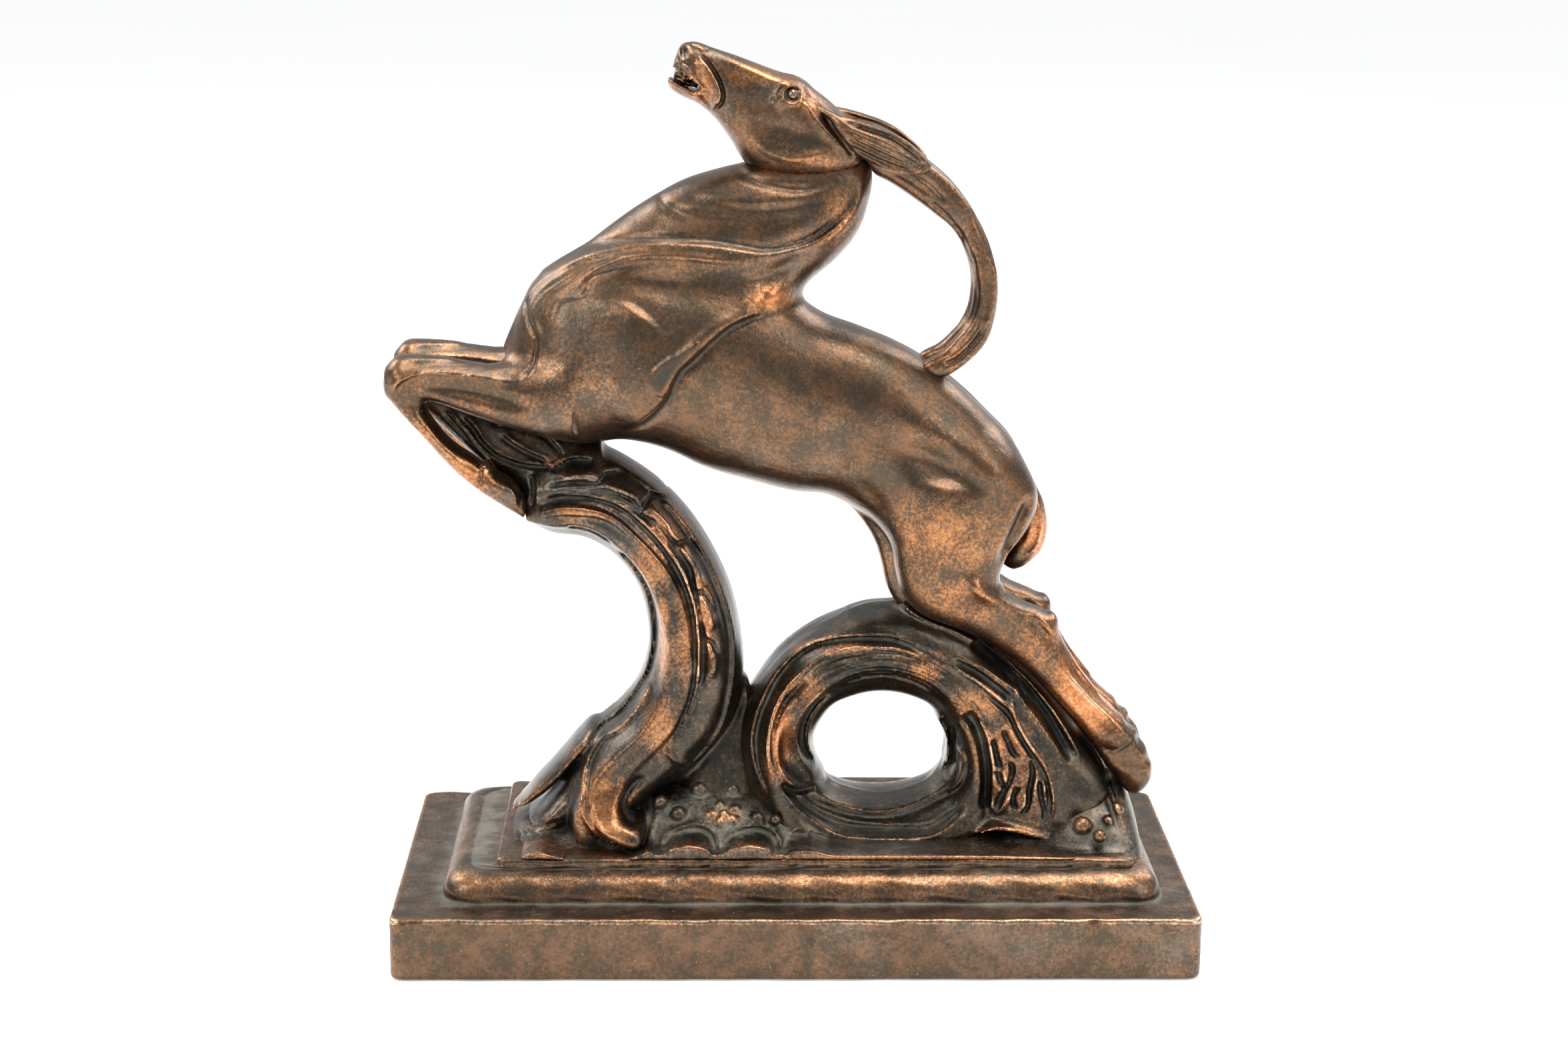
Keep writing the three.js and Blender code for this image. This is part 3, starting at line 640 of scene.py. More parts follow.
CANNON = [
    [-76.5, 111, -72.5, 109, 3.6, -8],
    [-77.5, 107.4, -70, 105.8, 4.5, -8],
    [-75.4, 103.8, -69.4, 102.6, 4.4, -8],
    [-71, 98.8, -66, 97.4, 4.2, -7.8],
    [-65.2, 92, -61.2, 94.2, 3.9, -7.6],
    [-61, 88.2, -58, 91.6, 3.9, -7.4],
    [-57.6, 85.8, -54.6, 89.8, 4.3, -7.2],
    [-54, 83.5, -51.8, 87, 4, -7],
    [-51.6, 82, -51.2, 84, 2.8, -7],
]
TAIL = [
    [46.2, 87.4, 42.6, 87, 2.6],
    [48, 83.4, 43, 82.6, 3.6],
    [48.8, 78.6, 41.8, 78, 4.2],
    [47.8, 74.4, 40.8, 74.6, 4],
    [45, 71.4, 40, 72.6, 3.2],
    [42.6, 70.2, 40.2, 71.4, 1.6],
]
HORN = [
    [10.6, 156.6, 11.6, 151, 2.6, -3.4],
    [14.6, 155.8, 14, 147.4, 3.2, -3.6],
    [19.6, 153, 17.4, 145.4, 3.3, -3.6],
    [24.6, 149, 21.6, 142.6, 3.2, -3.5],
    [29.2, 145, 25.4, 139.8, 3, -3.3],
    [33, 140, 28.8, 137, 2.8, -3.1],
    [36, 134, 31.4, 132.8, 2.7, -3],
    [37.6, 127.5, 33, 127.6, 2.6, -2.95],
    [37.5, 121.4, 32.8, 122.2, 2.6, -3],
    [35.9, 115.8, 31.4, 118.6, 2.6, -3.3],
    [32.6, 112, 29.4, 115.8, 2.5, -3.9],
    [29, 109.5, 27.2, 113.7, 2.4, -4.3],
    [26.4, 108.7, 25.4, 112.7, 2.3, -4.6],
    [24.6, 109, 24.2, 112, 1.7, -4.8],
    [23.6, 109.9, 23.5, 111.2, 0.9, -4.9],
]

FRONT_SCROLL = [
    [-52, 87, -51, 80, 9],
    [-47, 92.5, -46.5, 78, 12],
    [-38.5, 94.6, -40, 77, 13.5],
    [-28.5, 89.2, -34.5, 73.6, 14.2],
    [-20, 81, -30.4, 68, 14.6],
    [-13.6, 70, -28.5, 61, 15],
    [-10.6, 60, -28.4, 55, 15],
    [-9.8, 49, -30.3, 48.5, 15.2],
    [-12, 40, -34, 43.4, 15.6],
    [-17, 33.4, -39, 39, 16],
    [-23, 28.6, -43, 33.6, 16.4],
    [-27.6, 25.4, -45.6, 28, 16.8],
    [-29.6, 21, -46, 22.8, 17],
    [-31, 17.5, -44.6, 18, 17],
]
SCROLL_FACE = [
    [-1, 0],
    [-0.99, 0.2],
    [-0.92, 0.42],
    [-0.7, 0.7],
    [-0.5, 0.95],
    [-0.1, 0.93],
    [0.05, 0.87],
    [0.42, 0.84],
    [0.6, 0.75],
    [0.73, 0.63],
    [0.88, 0.48],
    [0.97, 0.27],
    [1, 0],
]
RING = [
    [41, 35.5, 30, 35.5, 12.5],
    [38, 48, 26.6, 43, 13.5],
    [29, 58.5, 22.4, 45.4, 14],
    [17, 63.6, 17, 46.2, 14],
    [6, 59.6, 11.6, 45.4, 14],
    [-4, 52, 7.2, 43, 14],
    [-11, 41, 4, 36, 14],
    [-11, 28, 7, 28, 14],
    [-6, 15, 11.4, 25.6, 14.5],
    [17, 14, 17, 24.6, 14.5],
    [38, 16, 23, 25.8, 14],
    [42, 24, 27.4, 28.4, 12.5],
]
RING_FACE = [
    [-1, 0],
    [-0.94, 0.3],
    [-0.78, 0.56],
    [-0.5, 0.72],
    [-0.26, 0.9],
    [-0.06, 1],
    [0.2, 1],
    [0.44, 0.86],
    [0.8, 0.62],
    [0.95, 0.34],
    [1, 0],
]
WAVE = [
    [6, 57, 8, 50, 4],
    [14, 61, 17, 49, 9.5],
    [22, 64.4, 26, 46, 12.4],
    [29, 62, 31, 40, 13],
    [36, 58.4, 33, 34, 13],
    [43, 53.4, 34.6, 28, 13.2],
    [50, 46.6, 36, 22, 13.6],
    [56.5, 38, 40, 16, 14],
    [60.6, 32, 52, 15, 13.6],
    [62.4, 27, 58, 15, 11],
]
# Two leaves at the C-scroll's foot, edges as seen
LEAF = [
    [-35, 38.2, -34, 33, 7],
    [-39.5, 37.4, -40.4, 32.4, 8],
    [-42.4, 34.9, -43.6, 29.4, 7.8],
    [-45, 31.9, -46, 26, 7.4],
    [-48, 28.4, -48.8, 23.4, 6.8],
    [-51, 25, -52, 21.2, 6],
    [-53.4, 22, -54.2, 19.8, 4.6],
    [-55.4, 20, -55.8, 19, 2.6],
]
LOW_LEAF = [
    [-38, 32, -38, 17, 10],
    [-42, 29.4, -42.6, 16, 11],
    [-46, 24.6, -46.6, 15, 12],
    [-50, 20, -50, 14, 12.6],
    [-53.4, 16.8, -53.2, 13, 12],
    [-56, 14, -56, 12.6, 9],
]
# The C-scroll's foot flares forwards as it comes down: edges as seen at the half depth of each station.
FOOT = [
    [-35.6, 33, -27.4, 31.6, 14.2],
    [-39.4, 30, -28.8, 28.4, 14.6],
    [-41.8, 25.6, -30.8, 25.4, 15.6],
    [-42.7, 21, -32.6, 21.8, 17.2],
    [-41.6, 17, -32, 18.6, 18.8],
    [-39, 13.9, -29.4, 17.4, 20.2],
    [-36, 12.4, -28.6, 15.6, 21],
    [-33.4, 11.9, -28.8, 14, 21],
    [-31.4, 12.1, -29.6, 13, 20],
]
WEB = [
    [-73, 106, -71, 101.5, 2.4],
    [-66, 104.4, -64, 95, 3.2],
    [-58, 101.6, -57, 88.4, 4],
    [-50, 99.6, -50, 84, 5],
    [-43, 97.6, -43, 84, 5.6],
    [-37, 96, -38, 84, 7],
]
# Metal that fills the corner between the hoof and the scroll
THROAT = [
    [-54.6, 90, -53.4, 84.6, 3],
    [-52, 91, -51.6, 82, 5],
    [-48, 91, -48, 80.8, 8],
]
# Metal that fills the valley between the two scrolls
SADDLE = [
    [-24, 20, -3, 20, 12],
    [-24, 27, -4.4, 27, 11],
    [-20, 35, -6, 35, 9],
    [-12.4, 42, -7.6, 42, 6.4],
    [-10.6, 47, -8.6, 47, 3.6],
    [-9.9, 48.6, -9.2, 48.6, 2],
]
GROIN = [
    [9, 84.6, 26, 88, 4],
    [12.6, 80.6, 30, 82, 4],
    [15.2, 76.4, 30, 77, 4],
    [16.6, 71.9, 30, 72, 4],
    [17.6, 67.6, 30, 68, 4],
    [19.4, 64, 30, 64, 4],
]
# Where the ear springs from the head, and the ear: edges as seen, the half depth and y true
EAR_ROOT = [
    [3.4, 159.4, 3, 156.4, 1.6, -4.6],
    [6.4, 158, 5.4, 153.8, 2.8, -5.4],
    [9.4, 156.2, 8, 151.4, 3.2, -6],
    [11.6, 155, 10.4, 150.4, 2.8, -6.2],
]
EAR_SEEN = [
    [2.6, 159.6, 2.4, 158.4, 0.9, -5.4],
    [6.0, 158.3, 5.6, 156.8, 1.3, -7.4],
    [8.5, 157.4, 7.2, 154.4, 2.2, -8],
    [12.5, 156.3, 10.6, 150.6, 2.7, -8.4],
    [16.5, 154.9, 15, 148.2, 2.7, -8.4],
    [20.3, 152.9, 19.4, 146.8, 2.4, -8],
    [23.4, 150.3, 22.8, 146.6, 1.8, -7.6],
    [25, 148.4, 24.7, 147.2, 1, -7.2],
]
# The flat band of the C-scroll, from the chest down to its rounded foot.
BAND_IN = [
    (-49, 79.4), (-44.7, 80), (-38.8, 79.7), (-35, 78.1), (-30.6, 73.8), (-27.5, 68.8), (-25, 63.8),
    (-23.8, 58.1),
    (-23.4, 52.5), (-24.4, 47.5), (-26.3, 42.5), (-29.4, 36.9), (-33, 33.2), (-35.4, 30.6), (-36.4, 28),
]
BAND_OUT = [
    (-49, 81.6), (-44.7, 82.6), (-38.5, 82), (-34, 80), (-29, 75.4), (-25.2, 71), (-22.3, 66), (-20.5, 60),
    (-20, 54), (-20, 49), (-20.8, 44), (-22.8, 39), (-26, 33.4), (-29.4, 30), (-31.4, 28),
]
BAND_MID = [((a + c) / 2, (b + d) / 2) for (a, b), (c, d) in zip(BAND_IN, BAND_OUT)]
LOBE_LOW = [(36.4, 15.4), (40, 15.4), (44, 14.6), (48, 13.4), (52, 12.6), (56.6, 12.2)]
LOBE_HIGH = [(36.6, 16), (40.4, 18), (45, 18), (49, 17), (53, 15.6), (57, 12.8)]
# The front edge of the ground's sheet: three arches between flat runs.
PLATE_EDGE = [
    (-56, 10.5), (-51, 12.2), (-46.5, 11.1), (-41, 10.1), (-36, 10.1), (-31.6, 11), (-28.8, 12.3),
    (-26.5, 11.5),
    (-24, 12.9), (-20.5, 13.6), (-17.2, 13), (-15, 11.6), (-12.4, 12.9), (-8.4, 13.6), (-5, 13), (-2.8, 11.7),
    (0, 12.5), (2.6, 12.7), (5.6, 12.1), (8.4, 11.5), (16, 11.4), (24, 11.4), (32, 11.4), (40, 11.3),
    (48, 11.1),
    (56, 10.8), (63, 10.4), (67.4, 10.2),
]
# The mound that runs along the ground is widest at this height, inside the plinth.
HILL_AXIS = 13
# x, crest height and half depth of the mound
HILLS = [
    (-57, 16, 12), (-54, 19.4, 16), (-50, 21.6, 18), (-42, 23, 19), (-30, 26, 20), (-20, 29.4, 21),
    (-10, 29.4, 21),
    (-2, 26, 20), (8, 22, 18), (20, 20.4, 16), (32, 20.4, 16), (40, 21, 17), (46, 22.4, 18), (50, 24.6, 19),
    (55, 28.6, 20), (60, 29.6, 20), (63.4, 29, 20), (65.2, 27, 19.6), (66.6, 23.5, 19), (67.4, 19.5, 18),
]
# Where hands and cloths have rubbed the patina off, as seen, and on the body a few spots of painted light
# too: x, z, half width, half height, amount
BODY_WEAR_AND_LIGHT_SPOTS = [
    # (58, 45): rubbed copper on the cannon, strong enough to get the painted highlight too
    (28, 76, 11, 9, 0.62), (33, 64, 9, 6, 0.6), (47, 55, 8, 6, 0.45), (58, 45, 9, 10, 1.1),
    (27, 97, 7, 4, 0.3),
    # (38, 92): darkens the rump, painted shade that tones down its highlight
    (38, 92, 7, 7, -0.3), (-16, 124, 14, 4, -0.2), (22, 106, 14, 5, -0.3), (-41, 105, 9, 9, 0.22),
    (-60, 103, 12, 3, 0.35), (-72, 100, 5, 9, 0.45), (-62, 90, 7, 6, 0.6),
    # (-5, 123): the withers' painted highlight, rubbed copper that also gets the pale brass
    (-65, 113, 12, 2, 0.35), (-5, 123, 5, 3, 0.9), (-32, 139, 10, 4, 0.1), (8, 138, 4, 6, 0.5),
    (-14, 129, 9, 2, 0.3),
    # (0, 92): darkens the belly, painted shade on the underside
    (-4, 137, 6, 3, 0.1), (15, 90, 6, 5, 0.2), (0, 92, 22, 5, -0.4), (-25, 107.6, 5, 4, 0.4),
]
HEAD_RUB = [
    (2, 149, 7, 3, 0.45), (-8, 165, 10, 2.2, 0.45), (-18, 164, 3, 5, 0.5), (3, 160, 4, 3, 0.5),
    (-3, 153, 6, 2, 0.3),
]
EAR_RUB = [(15, 152.6, 9, 1.6, 0.2), (22, 148, 5, 2, 0.2)]
HORN_RUB = [(27, 144, 6, 5, 0.15), (35, 134, 3, 6, 0.15), (36, 124, 2.4, 7, -0.1), (31, 112, 5, 3, 0.2)]
SCROLL_RUB = [
    (-37, 21, 6, 9, 0.75), (-26, 38, 4, 8, 0.6), (-21.6, 54, 2, 12, 0.5), (-27, 72, 4, 6, 0.5),
    (-40, 81.4, 8, 2.4, 0.45), (-18, 58, 2.4, 10, 0.6), (-24, 78, 6, 5, 0.45), (-46, 91, 3, 2, 0.4),
    (-43, 31, 4, 8, 0.15), (-52, 24, 7, 5, 0.2), (-25.4, 55, 1.4, 14, 0.5), (-27, 42, 1.4, 5, 0.4),
]
RING_RUB = [
    (-2.4, 36, 2.6, 9, 0.95), (2, 46, 5, 4, 0.5), (-5.4, 28, 2, 5, 0.5), (8, 54.4, 9, 1.8, 0.5),
    (26, 49.6, 4, 3, 0.7),
    (36, 43, 6, 4, 0.55), (43, 36, 6, 6, 0.5), (46, 26, 6, 8, 0.4), (45, 17, 7, 3, 0.35),
    (26, 52.6, 5, 1.6, 0.5),
]
GROUND_RUB = [
    (-13.6, 19.8, 4, 2, 0.9), (55.6, 25, 3, 3, 0.5), (59, 18, 6, 4, 0.4), (-20, 13.4, 5, 1.2, 0.6),
    (-8, 13.4, 5, 1.2, 0.6),
    (-50, 13, 7, 2, 0.5), (64, 20, 3, 7, 0.4), (30, 11, 40, 0.8, 0.4),
]
WORLD_LOW, WORLD_HIGH, HAZE = 0.25, 0.9, 0.7


def mirrored(solid):
    points, quads, tris = solid
    return points * [1, -1, 1], quads[:, ::-1], tris[:, ::-1]


def seen(stations, depth=None):
    """Stations with edges as seen on the mid-plane, carried to this depth or to each one's half depth."""
    out = []
    for a_x, a_z, b_x, b_z, *rest in stations:
        a, b = lift([(a_x, a_z), (b_x, b_z)], rest[0] if depth is None else depth)
        out.append([*a, *b, *rest])
    return out


def bar(inner, outer, depth, rings=90, power=7.0):
    """A flat-faced bar as deep as depth on both sides, between two seen edges with as many points each."""
    stations = [[*o, *i, depth] for i, o in zip(inner, outer)]
    return loft(seen(stations, depth), oval(48, power), rings)


def arc(centre, radii, start, stop, count=9):
    """Points along an ellipse's arc, its ends in degrees, anticlockwise from +X."""
    angle = np.radians(np.linspace(start, stop, count))
    return [(centre[0] + radii[0] * math.cos(a), centre[1] + radii[1] * math.sin(a)) for a in angle]


# ---- The figure ------------------------------------------------------------------------------------
HIP_LOW, HIP_HIGH = (8, 83.5), (50, 93.5)
ARM_TOP, ARM_FOOT = (-55.5, 116), (-41, 90)


def figure():
    clay = Clay((-80, 74), 18.5, (22, 153), 0.45)
    clay.add(loft(TORSO, oval(60, 2.5), 110))
    clay.add(loft(NECK, oval(60, 2.4), 70), 3.0)
    leg = loft(HIND_LEG, oval(40, 2.5), 110)
    clay.add(leg, 4.0)
    clay.add(mirrored(leg), 2.0)
    clay.add(loft(GROIN, oval(30, 4), 40), 0.8)
    arm = loft(FOREARM, oval(40, 2.7), 60)
    clay.add(arm, 4.5)
    clay.add(mirrored(arm), 1.6)
    shank = loft(CANNON, oval(40, 2.4), 70)
    clay.add(shank, 1.4)
    clay.add(mirrored(shank), 1.0)
    neck_marks(clay)
    shoulder_marks(clay)
    flank_marks(clay)
    thigh_marks(clay)
    shank_marks(clay)
    arm_marks(clay)
    clay.press()
    clay.cut(head_block())
    body = cast(clay, "body_casting", "bronze", ["body"], rub=BODY_WEAR_AND_LIGHT_SPOTS)
    slope = (HIP_HIGH[0] - HIP_LOW[0], HIP_HIGH[1] - HIP_LOW[1])
    low = (HIP_LOW[0], 0, HIP_LOW[1])
    legs = split(body, "near_hind_leg_casting", ["near_hind_leg"], low, (slope[1], 0, -slope[0]))
    split(legs, "far_hind_leg_casting", ["far_hind_leg"], (0, 0, 0), (0, 1, 0))
    slope = (ARM_TOP[0] - ARM_FOOT[0], ARM_TOP[1] - ARM_FOOT[1])
    low = (ARM_FOOT[0], 0, ARM_FOOT[1])
    arms = split(body, "near_foreleg_casting", ["near_foreleg"], low, (-slope[1], 0, slope[0]))
    split(arms, "far_foreleg_casting", ["far_foreleg"], (0, 0, 0), (0, 1, 0))


def neck_marks(clay):
    fold = [
        (12, 141), (9, 137.4), (4.5, 134), (0, 132.2), (-6, 131.4), (-10.5, 132), (-18, 133), (-28, 133),
        (-36, 131.6),
    ]
    clay.lap(fold + [(-42.6, 129), (-49.7, 123.6)], 1.2, 5, 0.7, 12)
    clay.ridge(
        [(-9, 130.2), (-15, 130.4), (-22, 131), (-30, 130.8), (-37, 128.6), (-43, 125)],
        0.7, 0.8, 13, 0.2,
    )
    for i in range(6):
        step = 1.15 * i
        streak = [
            (-52 + step, 119), (-50.4 + step, 122.6), (-46 + step, 126.8 - step * 0.5),
            (-38, 130.2 - step * 0.5),
        ]
        clay.ridge(streak + [(-24 - step, 131.2 - step * 0.3)], -0.32, 0.4, 10, 0.25)
    clay.ridge(
        [(-24, 144), (-16.8, 142.2), (-9.7, 141.4), (-3.8, 141.6), (2.1, 142.6), (6.8, 144.6),
        (9.6, 146.6)],
        0.35, 1.2, 9, 0.4,
    )
    clay.ridge([(-21, 142.4), (-16, 140.8), (-9, 140), (-2, 140.2), (4, 141.6)], -0.5, 1.2, 9, 0.25)
    clay.ridge([(-13, 147.6), (-9, 145.4), (-3, 144), (2, 143.8), (7, 145.4)], -0.6, 0.8, 9, 0.3)
    clay.ridge([(-24, 144.6), (-26, 141.5), (-22, 138.8), (-12, 138), (-4, 138.6)], -0.4, 0.9, 11, 0.3)
    clay.ridge([(-38, 133.6), (-28, 137), (-16, 136.4), (-6, 135)], -0.5, 2.4, 12, 0.3)
    clay.ridge([(12.4, 146), (11.4, 141), (8, 136.6), (3, 133)], 0.6, 1.1, 9, 0.25)
    clay.bump((0, 136.5), (5, 2.4), 0.7, 25, 11)


def shoulder_marks(clay):
    clay.ridge(
        [(-52.4, 108), (-50.3, 109.8), (-49.1, 114.1), (-49.4, 115.9), (-50.8, 118.6), (-51.4, 122.4)],
        -0.55, 0.4, 9, 0.12,
    )
    clay.ridge([(-49.6, 109.8), (-48.3, 114), (-48.8, 116.4), (-50, 119)], 0.35, 0.5, 9, 0.2)
    clay.lap(
        [(-23.6, 114.6), (-26.2, 116.8), (-29.1, 119.1), (-32.1, 120.8), (-36.2, 121.7), (-41, 122)], 0.7,
        5, 1.0, 15, 0.45,
    )
    edge = [
        (-6, 120.2), (-9.1, 119.9), (-13.2, 118.2), (-16.8, 115.4), (-19.7, 112.6), (-22.6, 110),
        (-24.1, 107.4),
    ]
    edge += [(-25.2, 104.7), (-27.4, 101.8), (-30.4, 99.2), (-34, 97.6)]
    clay.lap(edge[::-1], 1.8, 7, 0.8, 15, 0.1)
    clay.ridge([(-22.6, 112.4), (-19, 115.2), (-14.6, 118.6), (-9, 120.6)], 0.35, 0.9, 15, 0.3)
    clay.bump((-35, 108), (10, 8), 1.2, 0, 15)
    clay.bump((-26, 125), (10, 2.6), -0.9, -8, 15)
    clay.bump((-45, 117), (3.4, 5), 0.6, 10, 12)
    clay.bump((-4.8, 123.2), (3.8, 2.8), 1.9, 15, 14)
    clay.bump((-3, 128.4), (5, 1.6), -1.0, 30, 13)


def flank_marks(clay):
    clay.bump((-8, 104), (16, 8), 0.8, -20, 15)
    clay.ridge([(-20, 98), (-6, 95.5), (6, 94.5), (15, 92)], -0.4, 4, 15, 0.3)
    clay.bump((27.5, 90.8), (7.5, 2.8), -1.9, -24, 14)
    clay.bump((26, 97.5), (8, 3.4), 0.9, -34, 14)
    clay.bump((37.6, 89.8), (4.4, 4.6), 1.7, -50, 13)
    clay.lap([(38, 84), (31, 85.8), (26, 86.4), (20, 87.4)], 0.6, 5, 1.3, 14, 0.4)
    clay.ridge([(20, 112), (27, 107), (33, 101.6), (38, 96)], 0.4, 2.2, 12, 0.3)


def thigh_marks(clay):
    clay.bump((27, 77), (8, 8), 0.8, -60, 14)
    clay.ridge([(12, 88), (15.8, 83.6), (19, 78)], -0.5, 1.8, 13, 0.3)
    clay.ridge([(45, 85.5), (43, 81), (40.8, 76), (39, 71.4)], -1.3, 1.0, 9, 0.2)
    clay.bump((36, 65.8), (3.4, 2.2), 0.9, -40, 12)
    clay.ridge([(33, 70), (35.4, 67), (39, 64.4), (43.4, 62)], 0.8, 1.2, 11, 0.25)
    clay.ridge([(39.4, 66.6), (43, 64), (46.6, 62.6), (50.4, 61)], -0.9, 0.5, 8, 0.15)


def shank_marks(clay):
    clay.ridge([(45, 61), (47.6, 58.2), (50.4, 54.6)], -0.6, 0.9, 10, 0.3)
    clay.ridge([(46.6, 61.8), (49.2, 59), (52, 55)], 0.6, 0.7, 9.6, 0.3)
    clay.ridge(
        [(50, 53.4), (54, 48.4), (58.4, 43.8), (62.4, 40), (65.4, 36.8), (67.8, 33.4), (69.2, 30.6)], 0.5,
        0.8, 9, 0.2,
    )
    clay.ridge([(52.4, 54), (56, 48.4), (60, 44), (64, 40.8), (67, 37), (69.6, 32.6)], -0.6, 0.5, 8, 0.15)
    clay.bump((51, 60), (2.2, 1.8), 0.8, 0, 9)
    for spot in ((64.8, 40.2), (66.8, 37.2), (68.6, 33.6), (69.8, 30.4)):
        clay.bump(spot, (1.1, 1.0), 0.45, 0, 7)
    clay.bump((63, 36.2), (3, 2.2), 0.8, -40, 10)
    clay.ridge([(60.6, 34), (63, 33.2), (65.4, 34.6), (67, 36)], -0.5, 0.5, 10, 0.15)
    clay.bump((64, 29.6), (3, 1.6), 0.6, -30, 10)


def arm_marks(clay):
    clay.ridge(
        [(-77.2, 105), (-76, 106.6), (-74.4, 107.8), (-70.9, 108.8), (-65, 108.6), (-59.7, 108),
        (-53, 107)],
        0.8, 0.5, 12, 0.1,
    )
    clay.ridge([(-76, 109.6), (-70, 110), (-62, 109.8), (-55, 108.8)], -0.5, 0.6, 12, 0.2)
    clay.ridge([(-73, 106), (-66, 105.4), (-58, 104.2), (-50, 102)], -0.7, 1.2, 13, 0.25)
    clay.bump((-76, 108), (1.8, 2.6), 0.8, 0, 12)
    clay.bump((-60, 102), (8, 1.4), 0.5, -14, 13)
    clay.ridge([(-73.6, 101.4), (-70, 97.4), (-66, 92.6), (-62.6, 88.6)], 0.5, 0.9, 11, 0.2)
    clay.bump((-59.2, 89.8), (1.5, 1.1), 1.5, 0, 11)
    clay.ridge([(-60.6, 91.4), (-60.2, 89), (-60.8, 86.8)], -0.7, 0.5, 11, 0.1)
    clay.bump((-57.6, 86.6), (2.2, 1.2), 0.6, -30, 11)
    clay.ridge([(-56.4, 89), (-54.4, 87.4), (-53.2, 84.8), (-53, 82)], -0.5, 0.45, 11, 0.1)
    clay.ridge([(-55.2, 86.4), (-54, 84.6), (-53.6, 82.6)], 0.5, 0.5, 11, 0.1)


def head_block():
    return loft(HEAD, oval(50, 2.2), 60, grow=-0.15)


def head():
    clay = Clay((-28, 16), 11.5, (142, 174), 0.26)
    clay.add(loft(HEAD, oval(60, 2.3), 80))
    root = loft(seen(EAR_ROOT, 7), oval(30, 2.2), 30)
    clay.add(root, 1.2).add(mirrored(root), 1.2)
    eye_marks(clay)
    cheek_marks(clay)
    muzzle_marks(clay)
    clay.press(0, 2.2)
    mouth = [(-18.2, 162.7), (-19.2, 164), (-20.4, 165.2), (-22.6, 166.4), (-27, 167)]
    mouth += [(-27, 163.6), (-24.2, 164.6), (-21.4, 163), (-19.4, 162.2)]
    clay.cut(prism(np.array(mouth), 8), 0.3)
    tongue = [
        [-18.8, 163.2, -18.9, 162.6, 1.6], [-20.6, 164.8, -21.1, 163.1, 2.5],
        [-22, 166.1, -22.6, 163.7, 2.7], [-22.9, 166.4, -23.4, 164.3, 2.2],
    ]
    clay.add(loft(tongue, oval(24), 24), 0.3)
    for x, z in ((-20.3, 164.4), (-21.2, 165), (-22.2, 165.6), (-21.6, 163.9)):
        clay.bump((x, z), (0.35, 0.5), 0.45, 30, 2.4)
    clay.ridge([(-19.4, 163.4), (-21, 163.9), (-22.8, 164.6)], -0.5, 0.22, 2.4, 0)
    clay.press(0, 1)
    cast(clay, "head_casting", "bronze", ["head"], rub=HEAD_RUB)


def eye_marks(clay):
    clay.bump((-1.2, 161.4), (3.0, 2.5), 0.9, -25, 8)
    clay.ridge([(-4.6, 161.6), (-3.2, 163.2), (-0.9, 163.8), (1.4, 162.8), (2.8, 160.4)], 0.5, 0.6, 8, 0.2)
    ring = [(-1.2 + 1.85 * math.cos(a), 161.4 + 1.65 * math.sin(a)) for a in np.linspace(0, 2 * np.pi, 13)]
    clay.ridge(ring, 0.38, 0.34, 7.4, 0)
    clay.bump((-1.2, 161.4), (1.2, 1.1), -1.0, 0, 7.4)
    clay.ridge([(-3.2, 161), (-4.2, 160.6), (-5, 160.6)], -0.5, 0.3, 7.4, 0.1)
    clay.bump((-3.7, 160.2), (1.1, 0.8), 0.6, -40, 7.6)
    clay.bump((1.7, 159.3), (1.4, 0.8), 0.7, -45, 8)


def cheek_marks(clay):
    clay.bump((-2, 154.4), (6, 2.4), -0.9, -14, 8.6)
    clay.bump((2, 149.2), (6.5, 2.2), 0.8, -4, 8.6)
    clay.ridge([(-9.4, 154.4), (-6, 151), (-1, 149.6), (4, 150.6), (8, 152)], 0.35, 0.8, 8.4, 0.25)
    clay.ridge([(1.6, 159), (4, 156), (7, 152.8), (9.8, 150)], 0.7, 0.9, 8.4, 0.25)
    clay.ridge([(4.2, 158.2), (6, 155.6), (8.6, 152.4), (10.8, 149.8)], -0.6, 0.8, 8.4, 0.15)
    clay.ridge([(-4.4, 159.6), (-3, 156.4), (-3.4, 153.4)], -0.3, 1.2, 8.4, 0.3)
    clay.bump((-9.5, 161.6), (5, 2), -0.6, -24, 6.6)
    clay.ridge([(-16.6, 169), (-10, 166.6), (-4, 164.2), (1, 162.6)], 0.45, 0.9, 5, 0.2)


def muzzle_marks(clay):
    crease = [(-16.2, 158.8), (-15, 159.8), (-14.6, 161.6), (-15.4, 164), (-17, 166.6), (-18.8, 168.2)]
    clay.lap(crease, 0.8, 1.5, 0.3, 5.2, 0.12)
    clay.ridge([(x + 0.5, z) for x, z in crease], -0.5, 0.35, 5.2, 0.12)
    clay.bump((-16.9, 163.6), (1.0, 2.8), 0.5, 24, 4.6)
    clay.ridge([(-17.6, 161.8), (-19.6, 161.2), (-22.4, 162.8), (-24.4, 163.8)], 0.4, 0.5, 4.4, 0.1)
    lip = [(-23, 167.4), (-21.4, 166.6), (-19.9, 165), (-18.8, 163.6), (-17.8, 162.4), (-19.2, 161.9)]
    clay.ridge(lip, 0.45, 0.3, 4.4, 0.08)
    clay.bump((-21.4, 168.9), (0.6, 0.9), -0.7, 10, 4)
    clay.ridge(
        [(-21.4 + 1.0 * math.cos(a), 168.9 + 1.35 * math.sin(a)) for a in np.linspace(0, 2 * np.pi, 11)],
        0.3, 0.26, 4, 0
    )
    clay.ridge([(-20.6, 170.6), (-18.8, 170.2), (-17, 169.4)], 0.3, 0.5, 4, 0.2)


def prism(outline, half_depth):
    """A flat-faced slab with this outline in x and z."""
    rings = [
        np.stack([outline[:, 0], np.full(len(outline), y), outline[:, 1]], -1)
        for y in (-half_depth, half_depth)
    ]
    return skin(np.array(rings))


